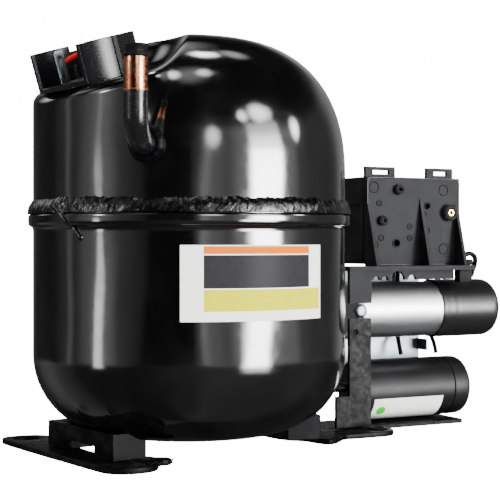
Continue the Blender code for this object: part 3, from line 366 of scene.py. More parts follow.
def sweep(path, radius, side, columns=20, inner=None):
    """Carries a circle along a path: P + r (cos a N + sin a B), N = T x side. inner adds a bore."""
    path = np.asarray(path, float)
    along = unit(np.gradient(path, axis=0))
    normal = unit(np.cross(along, np.asarray(side, float)))
    other = np.cross(along, normal)
    angles = np.linspace(0, 2 * np.pi, columns, endpoint=False)
    circle = np.cos(angles)[:, None] * normal[:, None] + np.sin(angles)[:, None] * other[:, None]
    reach = np.broadcast_to(np.asarray(radius, float).reshape(-1, 1, 1), (len(path), 1, 1))
    outside = path[:, None] + circle * reach
    if inner is None:
        return outside
    return np.concatenate([outside, (path[:, None] + circle * inner)[::-1]])


def wobble(angles, seed, low, high, count):
    """Seeded noise that closes on itself: a sum of cosines with whole frequencies from low to high."""
    random = np.random.default_rng(seed)
    turns = random.integers(low, high, count)
    phases = random.uniform(0, 2 * np.pi, count)
    return np.cos(np.asarray(angles)[..., None] * turns + phases).sum(axis=-1) / math.sqrt(count)


def ramp(value, start, end):
    """0 before start and 1 after end, with a smooth step t t (3 - 2 t) between."""
    t = np.clip((value - start) / (end - start), 0, 1)
    return t * t * (3 - 2 * t)

# %% [markdown]
# ## Finishes
# Each finish starts from the real material. Its plain numbers go straight on the shader, and one
# recipe adds what no factory surface is without: a grain of a known size, which dents the surface
# a little and makes it shinier here and duller there.


# %% Material recipe
def add_material(name, colour, roughness, metallic=0.0, **sockets):
    """A material with its plain values on the shader's own sockets."""
    material = bpy.data.materials.new(name)
    material.use_nodes = True
    shader = material.node_tree.nodes["Principled BSDF"]
    shader.inputs["Base Color"].default_value = srgb(colour)
    shader.inputs["Roughness"].default_value = roughness
    shader.inputs["Metallic"].default_value = metallic
    for key, value in sockets.items():
        shader.inputs[key.replace("_", " ")].default_value = value
    return material


def add_grain(material, size, depth, dull, shine, stretch=(1, 1, 1), detail=4.0):
    """Noise with spots of size mm and dents of depth mm; roughness runs from shine to dull with it."""
    tree = material.node_tree
    shader = tree.nodes["Principled BSDF"]
    where = add_node(tree, "TexCoord")
    spread = add_node(tree, "Mapping", Vector=where.outputs["Object"], Scale=stretch)
    noise = add_node(tree, "TexNoise", Vector=spread.outputs["Vector"], Scale=1 / (size * MM), Detail=detail)
    bump = add_node(tree, "Bump", Height=noise.outputs["Fac"], Distance=depth * MM)
    tree.links.new(bump.outputs["Normal"], shader.inputs["Normal"])
    gloss = add_node(tree, "MapRange", Value=noise.outputs["Fac"], From_Min=0.3, From_Max=0.7,
                     To_Min=shine, To_Max=dull)
    tree.links.new(gloss.outputs["Result"], shader.inputs["Roughness"])
    return tree, shader, where.outputs["Object"], noise.outputs["Fac"]


def blend_colours(tree, shader, factor, first, second):
    """The base colour runs from first to second as factor goes from 0 to 1."""
    colours = [srgb(c) if isinstance(c, str) else c for c in (first, second)]
    mix = add_node(tree, "Mix", {"data_type": "RGBA"}, _0=factor, _6=colours[0], _7=colours[1])
    tree.links.new(mix.outputs[2], shader.inputs["Base Color"])
    return mix.outputs[2]


def add_spots(tree, where, size, low, high):
    """1 in scattered spots of about size mm: noise above low, full at high."""
    noise = add_node(tree, "TexNoise", Vector=where, Scale=1 / (size * MM), Detail=3.0)
    spots = add_node(tree, "MapRange", Value=noise.outputs["Fac"], From_Min=low, From_Max=high)
    return spots.outputs["Result"]


def add_coating(name, colour, roughness, grain, tones, spots=None, stretch=(1, 1, 1), detail=4.0, **sockets):
    """A whole finish. grain is (size, depth, dull, shine) and spots, if any, are (size, low, high).

    The base colour runs through the two tones with the spots, or with the grain itself."""
    material = add_material(name, colour, roughness, **sockets)
    tree, shader, where, fac = add_grain(material, *grain, stretch, detail)
    blend_colours(tree, shader, add_spots(tree, where, *spots) if spots else fac, *tones)
    return material


# %% Paints
# Black baked enamel, sprayed: deep and wet-looking, with a faint orange peel a few mm across, over
# steel that drawing has left slightly wavy.
enamel = add_coating("sprayed_black_enamel", "#0A0A0B", 0.12, (5.0, 0.012, 0.15, 0.08),
                     ("#030303", "#080808"), (22, 0.45, 0.75), detail=2.0, IOR=1.6, Coat_Weight=1.0,
                     Coat_Roughness=0.08, Coat_IOR=1.6)
tree = enamel.node_tree
shader = tree.nodes["Principled BSDF"]
where = add_node(tree, "TexCoord").outputs["Object"]
slow = add_node(tree, "Mapping", Vector=where, Scale=(1, 1, 0.45))
waves = add_node(tree, "TexNoise", Vector=slow.outputs["Vector"], Scale=1 / (38 * MM), Detail=1.0)
drawn = add_node(tree, "Bump", Height=waves.outputs["Fac"], Distance=1.6 * MM,
                 Normal=shader.inputs["Normal"].links[0].from_socket)
for socket in ("Normal", "Coat Normal"):
    tree.links.new(drawn.outputs["Normal"], shader.inputs[socket])

# Enamel burnt by the seam weld: black and glossy over the ripples, with a few specks of bare scale.
burnt = add_coating("enamel_over_weld", "#060606", 0.3, (2.6, 0.5, 0.34, 0.1), ("#030303", "#5A4828"),
                    (1.5, 0.68, 0.74), IOR=1.5, Coat_Weight=0.2, Coat_Roughness=0.1)

# Dipped black paint on stamped steel: satin, with dust and worn grey patches.
dipped = add_coating("dipped_black_paint", "#1A1B1C", 0.35, (3.0, 0.05, 0.5, 0.26), ("#040405", "#101112"),
                     (9, 0.50, 0.72), Specular_IOR_Level=0.06)

# %% Plastics and rubber
# Moulded nylon round the terminals: near black, satin, with a fine spark-eroded grain.
nylon = add_coating("moulded_black_nylon", "#17181A", 0.3, (0.9, 0.003, 0.3, 0.22), ("#060607", "#0E0F10"),
                    Specular_IOR_Level=0.3)

# Moulded ABS of the relay box: dark grey and matt, slightly mottled by the flow of the melt.
abs_grey = add_coating("moulded_grey_abs", "#2B2C2E", 0.5, (0.8, 0.06, 0.62, 0.42), ("#0C0D0E", "#151617"),
                       (14, 0.35, 0.7), Specular_IOR_Level=0.12)

# Shrunk PVC sleeve: black with a soft sheen and a slow unevenness.
pvc = add_coating("shrunk_black_pvc", "#0D0D0E", 0.24, (7.0, 0.025, 0.36, 0.3), ("#0C0C0D", "#131314"),
                  detail=2.0, Specular_IOR_Level=0.5)

# Moulded phenolic of the start capacitor: satin black.
phenolic = add_coating("moulded_black_phenolic", "#0C0C0D", 0.45, (1.2, 0.01, 0.48, 0.36),
                       ("#0B0B0C", "#141415"), (18, 0.4, 0.7), Specular_IOR_Level=0.2)

# Cured rubber of plugs and leads: charcoal, with a chalky bloom on the high spots.
rubber = add_coating("cured_black_rubber", "#161616", 0.55, (1.2, 0.06, 0.7, 0.45), ("#070707", "#161515"),
                     (4, 0.5, 0.75), Specular_IOR_Level=0.12)

# Extruded red PVC insulation.
red_pvc = add_coating("extruded_red_pvc", "#B5100C", 0.35, (2.0, 0.03, 0.42, 0.3), ("#6E0403", "#A00806"),
                      Specular_IOR_Level=0.2)

# Moulded white polyester of the suction muffler.
polyester = add_coating("moulded_white_polyester", "#D8D6CE", 0.45, (1.5, 0.05, 0.5, 0.4),
                        ("#CFCDC4", "#E0DED7"))


# %% Metals
def add_metal(name, dark, light, dull, shine, grain, depth, stretch=(1, 1, 1)):
    """Bare metal: two tones of one grain, and roughness between shine and dull."""
    return add_coating(name, light, dull, (grain, depth, dull, shine), (dark, light), stretch=stretch,
                       metallic=1.0)


# Drawn aluminium, brushed round the can: streaks a fraction of a mm wide run round the x axis.
aluminium = add_metal("brushed_aluminium", "#C4C6C8", "#E2E3E4", 0.48, 0.38, 0.4, 0.004, (1, 0.12, 0.12))
# Zinc plate: pale grey with crystals of a few mm.
zinc = add_metal("zinc_plate", "#666B70", "#888D92", 0.48, 0.36, 3.5, 0.02)
# Turned and ground steel.
steel = add_metal("machined_steel", "#77787A", "#A2A3A5", 0.34, 0.22, 1.0, 0.01)
# Punched electrical steel, seen as a stack of sheets 0.5 mm thick, drawn as 1 mm bands.
laminations = add_metal("stacked_silicon_steel", "#4F5257", "#8D9094", 0.5, 0.35, 1.0, 0.05, (0.02, 0.02, 1))
# Sand-cast grey iron with a grain of about 1 mm.
iron = add_metal("cast_grey_iron", "#3C3C3D", "#626263", 0.7, 0.5, 1.1, 0.12)
# Die-cast rotor, and the enamelled wire of the windings, 1 mm thick and wound round the axis.
cast = add_metal("cast_aluminium", "#8F9092", "#B9BABC", 0.5, 0.38, 1.4, 0.05)
winding = add_metal("enamelled_copper_wire", "#6E2D16", "#B5623A", 0.4, 0.28, 1.0, 0.2, (0.1, 0.1, 1))
# Half-hard brass of the contacts.
brass = add_metal("stamped_brass", "#9C7A35", "#D9BC74", 0.34, 0.22, 1.2, 0.01)



# %% Copper tube
# Drawn, and heated by brazing, so pink and brown by turns, with sooty specks. The foot of the tube
# is under the shell's enamel, with a ragged paint line where the masking ended.
def add_tube_copper(name, paint_top):
    """Bare copper above paint_top mm and black enamel below it, with an edge 1 mm uneven."""
    copper = add_material(name, "#C9744F", 0.28, 1.0)
    tree, shader, where, fac = add_grain(copper, 3.0, 0.02, 0.34, 0.15)
    tones = blend_colours(tree, shader, add_spots(tree, where, 6, 0.38, 0.66), "#EFA27C", "#B26446")
    soot = add_spots(tree, where, 1.1, 0.63, 0.70)
    specks = blend_colours(tree, shader, soot, tones, "#3A1C12")
    height = add_node(tree, "SeparateXYZ", Vector=where)
    uneven = combine(tree, "MULTIPLY_ADD", fac, 4 * MM, height.outputs["Z"])
    bare = add_node(tree, "MapRange", Value=uneven, From_Min=(paint_top + 1.8) * MM,
                    From_Max=(paint_top + 2.2) * MM)
    blend_colours(tree, shader, bare.outputs["Result"], "#0A0A0B", specks)
    tree.links.new(bare.outputs["Result"], shader.inputs["Metallic"])
    return copper


suction_copper = add_tube_copper("drawn_copper_suction", 206.7)
discharge_copper = add_tube_copper("drawn_copper_discharge", 192)
bare_copper = add_metal("drawn_copper", "#A0563A", "#D98560", 0.4, 0.25, 3.0, 0.02)


# %% Sticker
# Vinyl film with plain printed bands: nothing is written on it.
def add_vinyl(name, colour, shade):
    """Film with a faint print grain between the colour and its shade."""
    return add_coating(name, colour, 0.3, (2.5, 0.01, 0.36, 0.26), (shade, colour), Specular_IOR_Level=0.03)


white_vinyl = add_vinyl("white_vinyl", "#E9E9E4", "#DEDED8")
orange_vinyl = add_vinyl("orange_printed_vinyl", "#CC6A08", "#BC6004")
yellow_vinyl = add_vinyl("yellow_printed_vinyl", "#C2C000", "#B0AE00")
grey_vinyl = add_vinyl("grey_printed_vinyl", "#2A2A2C", "#232325")
green_vinyl = add_vinyl("green_printed_vinyl", "#12C01C", "#0CA815")
print(len(bpy.data.materials), "materials")

# %% [markdown]
# ## The shell
# Two deep-drawn cups: the lower one has a rolled rim that takes the upper one, and a robot lays
# one weld round the joint. Both are turned profiles; the upper cup is a height map instead,
# because a flat facet for the terminals is pressed into its shoulder.

# %% Lower cup
SHELL_RADIUS = 95.0
BOWL_RADIUS = 48.0
BOWL_CENTRE_Z = 60.0


def bowl_line(offset):
    """From the axis out to the wall: a shallow cone, then an arc of the bowl's corner radius."""
    turn = np.radians(np.linspace(-82, 0, 40))
    arc = np.stack([SHELL_RADIUS - BOWL_RADIUS + (BOWL_RADIUS - offset) * np.cos(turn),
                    BOWL_CENTRE_Z + (BOWL_RADIUS - offset) * np.sin(turn)], axis=1)
    bottom = respace([(0.5, 7.0 + offset), (24, 8.6 + offset), arc[0]], 4)
    return np.vstack([bottom[:-1], arc])


rim = soften([(95, 133), (95.2, 135.4), (97.4, 136.4), (97.9, 138), (97.9, 142), (97.2, 143),
              (95.3, 143)], 2)
cup_line = np.vstack([bowl_line(0.0), respace([(95, 62), (95, 132)], 3), rim,
                      [(95.3, 138.0), (92, 138.0)], respace([(92, 136), (92, 62)], 6),
                      bowl_line(3.0)[::-1]])
lower_grid = revolve(cup_line, 300)
flat = lower_grid.reshape(-1, 3)
away = np.linalg.norm(flat[:, :2], axis=1)
angle_here = np.degrees(np.arctan2(flat[:, 1], flat[:, 0]))
lift = np.zeros(len(flat))
for nub_angle, nub_z in ((-159, 32), (-145, 31), (-62, 38)):
    gap = np.hypot((angle_here - nub_angle) * math.radians(SHELL_RADIUS * 0.9), flat[:, 2] - nub_z)
    lift += 1.1 * (1 - ramp(gap, 1.2, 4.2)) * (away > 60)
flat[:, :2] *= (1 + lift / np.maximum(away, 1))[:, None]
add_grid("lower_cup", settle(lower_grid), enamel, ("lower_shell",), angle=50)
print("lower cup rows", len(cup_line))

# %% Upper cup
FACET_ANGLE = math.radians(190.7)
FACET_TILT = math.radians(17)
FACET_Z = 212  # where the facet's plane meets the wall
FACET_MIDDLE, FACET_STRETCH = 92.6, 1.15
FACET_EDGE = (64, 79)  # mm from the facet's middle: flat within the first, dome past the second
DOME_FOOT, DOME_RISE, DOME_POWER, CROWN = 165, 85, 2.4, 15


def dome_grid(columns=288, rows=96):
    """Height over (radius, angle): a squared-off quarter ellipse, drawn over to a tilted plane."""
    rise = np.linspace(0, np.pi / 2, rows)
    radius = CROWN + (SHELL_RADIUS - CROWN) * np.cos(rise) ** (2 / DOME_POWER)
    radius = np.concatenate([radius, np.linspace(CROWN, 1, 6)[1:]])[:, None]
    angles = np.linspace(0, 2 * np.pi, columns, endpoint=False)[None, :]
    out = np.clip((radius - CROWN) / (SHELL_RADIUS - CROWN), 0, 1)
    dome = DOME_FOOT + DOME_RISE * (1 - out ** DOME_POWER) ** (1 / DOME_POWER)
    dome = dome + 0.4 * (1 - ramp(radius, 0, 40))
    x, y = radius * np.cos(angles), radius * np.sin(angles)
    downhill = x * math.cos(FACET_ANGLE) + y * math.sin(FACET_ANGLE)
    sideways = y * math.cos(FACET_ANGLE) - x * math.sin(FACET_ANGLE)
    plane = FACET_Z + (SHELL_RADIUS - downhill) * math.tan(FACET_TILT)
    edge = np.clip(radius - (SHELL_RADIUS - 6), 0, 6)
    plane = plane - (6 - np.sqrt(36 - edge ** 2))
    pressed = 1 - ramp(np.hypot(downhill - FACET_MIDDLE, sideways * FACET_STRETCH), *FACET_EDGE)
    height = dome + (plane - dome) * pressed
    return np.stack([x, y, height], axis=-1)


skirt = revolve([(95, z) for z in np.linspace(138.3, 164.2, 8)], 288)
upper_grid = np.concatenate([skirt, dome_grid()])
upper_cup = add_grid("upper_cup", settle(upper_grid), enamel, ("upper_shell",), ends=(False, True), angle=60)
wall = upper_cup.modifiers.new("wall", "SOLIDIFY")
wall.thickness = 3 * MM
wall.offset = -1
print("upper cup grid", upper_grid.shape)

# %% [markdown]
# The weld is a fillet of metal laid in the corner between the cups and painted over. It slopes from
# the upper cup out to the rim, wanders a little, shows fine ripples, and ends in a crater where the
# arc was stopped, with a run below it.

# %% Seam weld
WELD_COLUMNS = 1100
weld_angles = np.linspace(0, 2 * np.pi, WELD_COLUMNS, endpoint=False)
STOP = math.radians(-163)
away = np.angle(np.exp(1j * (weld_angles - STOP)))
crater = np.exp(-(away / math.radians(7)) ** 2)
share = np.linspace(0, 1, 13)[:, None]
top_edge = (151.4 + 0.55 * wobble(weld_angles, 11, 6, 40, 8) + 0.25 * wobble(weld_angles, 12, 80, 200, 8)
            + 0.7 * crater)
low_edge = 143.4 + 0.2 * np.abs(wobble(weld_angles, 13, 30, 160, 8))
weld_height = top_edge + (low_edge - top_edge) * share
bulge = np.sin(np.pi * share)
rough = 0.5 + 0.5 * np.exp(-(away / math.radians(30)) ** 2)
beads = 1.3 * crater * np.cos(away * 60) * share
relief = (0.42 * wobble(weld_angles + 0.03 * share, 21, 18, 70, 10)
          + 0.10 * np.sin(weld_angles * 130 + 5 * share)
          + 0.13 * wobble(weld_angles + 0.012 * np.sin(7 * share), 22, 90, 220, 12))
weld_radius = 95.2 + 3.0 * share ** 0.8 + bulge * (0.55 + relief * rough + beads)
weld_radius = np.clip(weld_radius, 95.15, 98.8)
weld = around(weld_radius, weld_angles, weld_height)
behind = revolve([(95.1, 143.2), (95.1, 150.4)], WELD_COLUMNS)
add_grid("weld_bead", settle(np.concatenate([weld, behind])), burnt, ("seam_weld",), wrap_rows=True, angle=80)

# %% Weld run
run_path = np.array([(97.2, -165, 147), (97.6, -162.4, 143.4), (97.4, -160, 139.5), (95.6, -158, 136.4),
                     (94.9, -156, 133), (94.4, -154.4, 130), (94.4, -153.6, 127.6)])
run_line = soften(around(run_path[:, 0], np.radians(run_path[:, 1]), run_path[:, 2]), 3)
run_size = np.interp(np.linspace(0, 1, len(run_line)), [0, 0.2, 0.55, 0.85, 1], [3.0, 2.4, 1.3, 2.1, 0.4])
add_grid("weld_run", settle(sweep(run_line, run_size, (0.4, -0.9, 0), 14)), burnt, angle=80)

# %% [markdown]
# ## Tubes, plugs and the brazed collar
# A copper tube leaves the shell level and bends upwards. The tube is one circle carried along the
# bent line and back down inside as the bore, so its mouth has a real wall. A rubber plug keeps the
# dirt out until the lines are brazed on.


# %% Tubes
def tube_line(turn, height, reach, top, start=88.0, bend=15.0):
    """Level from the shell, a quarter circle of the bend radius, then straight up."""
    quarter = np.linspace(0, np.pi / 2, 16)
    out = np.concatenate([np.linspace(start, reach - bend, 6)[:-1], reach - bend + bend * np.sin(quarter),
                          np.full(10, reach)])
    up = np.concatenate([np.full(5, height), height + bend * (1 - np.cos(quarter)),
                         np.linspace(height + bend, top, 11)[1:]])
    return around(out, turn, up)


def add_tube(name, turn, height, reach, top, radius, material, node):
    """A swept tube with a 1 mm wall and a slightly rounded mouth."""
    line = tube_line(turn, height, reach, top)
    size = np.full(len(line), radius)
    size[-1] -= 0.25
    side = (-math.sin(turn), math.cos(turn), 0)
    grid = sweep(line, size, side, 40, inner=radius - 1.0)
    return add_grid(name, settle(grid), material, (node,), wrap_rows=True, angle=50)


SUCTION_TURN = math.radians(-128.4)
DISCHARGE_TURN = math.radians(102)
TUBES = (("suction", SUCTION_TURN, 180, 117, 224, 6.5, suction_copper),
         ("discharge", DISCHARGE_TURN, 176, 109, 206, 4.8, discharge_copper))
for use, turn, height, reach, top, radius, copper in TUBES:
    add_tube(f"{use}_line", turn, height, reach, top, radius, copper, f"{use}_tube")


# %% Plugs
PLUG_LEAN = 0.1  # sideways for each mm above the lip, as a plug pressed in by thumb


def add_plug(name, turn, reach, top, radius, node, body):
    """A turned plug: a waisted head with a lip over the tube's mouth, and a stem inside it."""
    lip = radius * 1.03
    head = [(0.3, 7.1), (radius * 0.8, 7.1), (radius * 0.97, 6.8), (radius, 5.9), (radius * 0.9, 4.2),
            (radius * 0.88, 2.4), (lip * 0.97, 1.9), (lip, 1.2), (lip, 0.5), (radius - 1.6, 0.3)]
    stem = [(radius - 1.65, -4), (radius - 2.1, -8.6), (0.3, -8.9)]
    profile = np.vstack([soften(head, 2), stem])
    plug = revolve(profile, 40)
    lean = np.maximum(plug[..., 2:3] - 1.5, 0) * PLUG_LEAN
    plug = plug + lean * np.array(CAMERA_RIGHT)
    add_grid(name, settle(plug, around(reach, turn, top)), rubber, (node,), body=body, angle=50)


for use, turn, height, reach, top, radius, copper in TUBES:
    add_plug(f"{use}_stopper", turn, reach, top, radius, f"{use}_plug", f"{use}_cap")

# %% Brazed collar
collar_profile = soften([(6.8, 3.6), (7.8, 3.2), (9.4, 2.2), (10.4, 0.6), (10.3, -1.0), (8.0, -3.2),
                         (6.8, -3.2)], 2, closed=True)
collar = revolve(collar_profile, 72)
collar_angles = np.linspace(0, 2 * np.pi, 72, endpoint=False)
collar[..., 2] += 0.25 * wobble(collar_angles, 31, 3, 14, 6) * (collar[..., 2] > 0)
collar_place, outwards = around(97, SUCTION_TURN, 180), around(1, SUCTION_TURN, 0)
add_grid("brazed_collar", settle(collar, collar_place, (0, 0, -1), outwards), dipped,
         ("suction_collar",), wrap_rows=True, angle=60)

# %% [markdown]
# ## Terminals
# The facet holds a fused header with three pins. A plastic fence clips over it, with a window for
# the plug on the near side, a notch on the far one, ribs outside, and an overload protector inside.
# The fence's wall is a grid over angle, and its top height is simply another function of angle.

# %% Terminal frame
DOWNHILL = around(math.cos(FACET_TILT), FACET_ANGLE, -math.sin(FACET_TILT))
UPRIGHT = around(math.sin(FACET_TILT), FACET_ANGLE, math.cos(FACET_TILT))
TERMINALS = around(70, FACET_ANGLE, FACET_Z + 25 * math.tan(FACET_TILT))


def at_terminals(points):
    """Local x runs down the facet, z stands off it, from the header's centre."""
    return settle(points, TERMINALS, DOWNHILL, UPRIGHT)


# %% Fence
FENCE_OUT, FENCE_HIGH = 31.0, 23.5
WINDOW = (math.radians(-14), math.radians(52))
NOTCH = (math.radians(-125), math.radians(-106))
PANEL = (math.radians(97), math.radians(146))
edges = np.array([*WINDOW, *NOTCH, *PANEL])
fence_angles = np.radians(np.arange(-180, 180, 1.0))
fence_angles = np.sort(np.concatenate([fence_angles, edges - 1e-4, edges + 1e-4]))
in_window = (fence_angles > WINDOW[0]) & (fence_angles < WINDOW[1])
in_notch = (fence_angles > NOTCH[0]) & (fence_angles < NOTCH[1])
in_panel = (fence_angles > PANEL[0]) & (fence_angles < PANEL[1])
top = np.where(in_window, 3.0, np.where(in_notch, 19.5, FENCE_HIGH - 0.5))
wall = np.full_like(fence_angles, FENCE_OUT - 0.7)
flat_side = 28.4 / np.cos(np.where(in_panel, fence_angles - sum(PANEL) / 2, 0))
wall = np.where(in_panel, np.minimum(wall, flat_side), wall)
for rib in (54.5, 95, 148.5, 160, 200, 240, 300):
    offset = np.degrees(np.abs(np.angle(np.exp(1j * (fence_angles - math.radians(rib))))))
    wall = wall + 0.65 * (offset < 1.1)
low = np.full_like(wall, 0.3)
inside = 28.6 - 2.4 * in_panel
rows = [(22, low), (wall, low), (wall, low + 0.9), (wall, np.minimum(2.6, top)), (wall, top - 0.4),
        (wall - 0.4, top), (inside + 0.3, top), (inside, top - 0.4), (inside, low + 1.8), (22, low + 1.7)]
fence = np.stack([around(radius, fence_angles, height) for radius, height in rows])
add_grid("fence_wall", at_terminals(fence), nylon, ("terminal_fence",), wrap_rows=True, angle=30)
print("fence columns", len(fence_angles))


# %% Boxes with soft edges
def rounded_box(low, high, edge=0.4, count=6):
    """A box as a grid from pole to pole: a squared-off sphere, |x|^n + |y|^n = 1, stretched to fit."""
    low, high = np.asarray(low, float), np.asarray(high, float)
    half = (high - low) / 2
    inner = half - min(edge, half.min() * 0.9)
    lap = np.linspace(0, np.pi / 2, count)
    corner = np.stack([np.cos(lap), np.sin(lap)], axis=1)
    signs = np.array([(1, 1), (-1, 1), (-1, -1), (1, -1)])
    ring = []
    for k, (sx, sy) in enumerate(signs):
        turned = corner if k % 2 == 0 else corner[::-1]
        ring.append(np.stack([sx * (inner[0] + 0 * lap), sy * (inner[1] + 0 * lap), sx * turned[:, 0],
                              sy * turned[:, 1]], axis=1))
    ring = np.concatenate(ring)
    radius = half[0] - inner[0]
    tilt = np.concatenate([np.linspace(-np.pi / 2, 0, count), np.linspace(0, np.pi / 2, count)])[:, None]
    lift = np.where(np.arange(2 * count)[:, None] < count, -inner[2], inner[2])
    x = ring[:, 0] + radius * np.cos(tilt) * ring[:, 2]
    y = ring[:, 1] + radius * np.cos(tilt) * ring[:, 3]
    z = lift + radius * np.sin(tilt) + 0 * x
    return np.stack([x, y, z], axis=-1) + (low + high) / 2


# %% Overload protector, contacts and lead
disc = soften([(0.4, 11.2), (6.6, 11.2), (7.4, 12.0), (8.4, 12.0), (9.0, 11.0), (9.0, 4.0), (8.6, 1.0),
               (0.4, 1.0)], 1)
PROTECTOR_AT = np.array([-19.2, 0.5, 3.4])
add_grid("protector_can", at_terminals(revolve(disc, 48) + PROTECTOR_AT), nylon, ("overload_protector",))
for name, low, high in (
        ("contact_strip_1", (-22, -6, 15.6), (-15, -4.6, 20.4)),
        ("contact_strip_2", (-23, 3.4, 15.6), (-17, 4.8, 19.6)),
        ("contact_bridge", (-23.4, -5, 15.5), (-16, 4.6, 16.3))):
    add_grid(name, at_terminals(rounded_box(low, high, 0.25, 3)), brass)
lead = soften([(19.8, 3.4, 8), (19, 1.5, 12.5), (12, 4, 16.5), (2, 9, 18.5), (-8, 9, 19), (-16, 3, 19),
               (-18, 1, 16)], 3)
wire = sweep(lead, 1.45, (0.3, 0.2, -0.9), 16)
add_grid("protector_wire", at_terminals(wire), red_pvc, ("protector_lead",))

# %% [markdown]
# Flat stampings with holes are outlines first. A filled 2D curve takes the outer line and every
# hole at once, which a grid can't, and its bevel rounds the edge as the press does.


# %% Plates
def add_plate(name, outline, holes, thick, edge, material, nodes, place, rounds=2):
    """A filled outline of points in mm with round holes (x, y, radius), made a mesh and then placed."""
    curve = bpy.data.curves.new(name, "CURVE")
    curve.dimensions = "2D"
    curve.fill_mode = "BOTH"
    curve.extrude = thick / 2 - edge
    curve.bevel_depth = edge
    curve.bevel_resolution = 2
    loop_turn = np.linspace(0, 2 * np.pi, 28, endpoint=False)
    loops = [soften(outline, rounds, closed=True)]
    loops += [around(r, loop_turn, 0)[:, :2] + (x, y) for x, y, r in holes]
    for loop in loops:
        spline = curve.splines.new("POLY")
        spline.points.add(len(loop) - 1)
        flat = np.zeros((len(loop), 4))
        flat[:, :2], flat[:, 3] = loop, 1
        spline.points.foreach_set("co", flat.ravel())
        spline.use_cyclic_u = True
    curve.offset = -edge
    maker = add_object(name + "_outline", curve)
    graph = bpy.context.evaluated_depsgraph_get()
    mesh = bpy.data.meshes.new_from_object(maker.evaluated_get(graph))
    bpy.data.objects.remove(maker)
    bpy.data.curves.remove(curve)
    points = np.empty(len(mesh.vertices) * 3)
    mesh.vertices.foreach_get("co", points)
    mesh.vertices.foreach_set("co", place(points.reshape(-1, 3)).ravel())
    merge = bmesh.new()
    merge.from_mesh(mesh)
    bmesh.ops.remove_doubles(merge, verts=merge.verts, dist=0.01 * MM)
    bmesh.ops.recalc_face_normals(merge, faces=merge.faces)
    merge.to_mesh(mesh)
    merge.free()
    return dress(name, mesh, material, nodes, angle=35)


# %% Spade tab
spade = [(16.7, 3.2), (23, 3.2), (23, 20.6), (22.2, 22), (17.5, 22), (16.7, 20.6)]
add_plate("spade_blade", spade, [(19.85, 17.6, 1.1), (19.85, 7, 0.8)], 0.8, 0.12, zinc, ("spade_tab",),
          lambda p: at_terminals(np.stack([p[:, 0], 6.0 + p[:, 2], p[:, 1]], axis=1)), 0)

# %% [markdown]
# ## Feet
# Two feet are stamped from 3.5 mm plate, dipped with the shell, and welded under the bowl. The
# near tips show a slightly rolled edge, and spatter from the welding sticks to the plate.

# %% Foot plates
left_outline = [(-98, 68), (-96, 75), (-90, 79), (-74, 78), (-67, 72), (-65, 60), (-66, -2), (-54, -27),
                (-40, -32), (-39, -37), (-31, -40), (-33, -49), (-41, -48), (-46, -60), (-53, -66),
                (-66, -67), (-76, -61), (-79, -53)]
right_outline = [(74, 78), (67, 72), (63, 60), (62, 20), (68, -1), (76, -6), (80, -23), (84, -27), (91, -24),
                 (102, -13), (108, -13), (134, -14), (142, -11), (146, -2), (142, 6), (134, 10), (112, 12),
                 (98.5, 16), (98.5, 68), (96, 75), (90, 79)]


def on_ground(points):
    """The plate's middle plane lies half its thickness above the ground."""
    return settle(points + np.array([0, 0, 1.75]))


for side, outline, holes in (
        ("left", left_outline, [(-83, 66, 8.7)]),
        ("right", right_outline, [(82, 66, 8.7), (135, -2, 3.7)])):
    add_plate(f"{side}_foot_plate", outline, holes, 3.5, 0.7, dipped, (f"{side}_foot",), on_ground)

# %% Ear rim
ear_rim = revolve(soften([(3.7, 3.4), (3.9, 4.6), (4.8, 5.0), (6.4, 4.6), (7.4, 3.4)], 2, closed=True), 48)
add_grid("ear_rim", settle(ear_rim, (135, -2, 0)), dipped, wrap_rows=True)

# %% Weld spatter
def add_drops(name, places, sizes, material):
    """Flattened beads in one mesh: each is the same small dome, scaled and moved to its place."""
    bead = revolve([(0.1, 0.55), (0.5, 0.42), (0.8, 0.2), (0.9, -0.1), (0.1, -0.12)], 10)
    rows, columns, _ = bead.shape
    one = np.vstack([bead.reshape(-1, 3), bead[0].mean(axis=0), bead[-1].mean(axis=0)])
    j = np.arange(columns)
    after = (j + 1) % columns
    quads = grid_faces(rows, columns, False, True)[:, ::-1]
    top = np.stack([j, after, np.full(columns, rows * columns)], axis=1)
    low = np.stack([(rows - 1) * columns + after, (rows - 1) * columns + j,
                    np.full(columns, rows * columns + 1)], axis=1)
    shift = np.arange(len(places))[:, None, None] * len(one)
    points = (one[None] * np.asarray(sizes)[:, None, None] + np.asarray(places)[:, None]).reshape(-1, 3)
    faces = [(part[None] + shift).reshape(-1, part.shape[1]) for part in (quads, top, low)]
    return add_piece(name, settle(points), faces, material)


random = np.random.default_rng(17)
spots = np.stack([random.uniform(-60, -34, 30), random.uniform(-60, -50, 30), np.full(30, 3.5)], axis=1)
add_drops("weld_spatter", spots, random.uniform(0.5, 1.5, 30), burnt)
print(len(spots), "drops of spatter")

# %% [markdown]
# ## Pressed and moulded parts that keep the frame's shape
# The frame's own meshes are loose triangles with knife-sharp edges. A copy is welded, its flat
# faces are joined, and a small bevel rounds every edge, as a mould or a press leaves it.


# %% Softened copies of frame nodes
def soften_node(node, material, width, name):
    """A welded copy of a frame node with its flat faces joined and its edges rounded by width mm."""
    mesh = frame["nodes"][node].data.copy()
    work = bmesh.new()
    work.from_mesh(mesh)
    bmesh.ops.remove_doubles(work, verts=work.verts, dist=0.005 * MM)
    bmesh.ops.dissolve_limit(work, angle_limit=math.radians(1), verts=work.verts, edges=work.edges)
    work.to_mesh(mesh)
    work.free()
    piece = dress(name, mesh, material, (node,), angle=35)
    edge = piece.modifiers.new("edge", "BEVEL")
    edge.width = width * MM
    edge.segments = 2
    edge.limit_method = "ANGLE"
    edge.angle_limit = math.radians(40)
    weigh = piece.modifiers.new("weigh", "WEIGHTED_NORMAL")
    weigh.keep_sharp = True


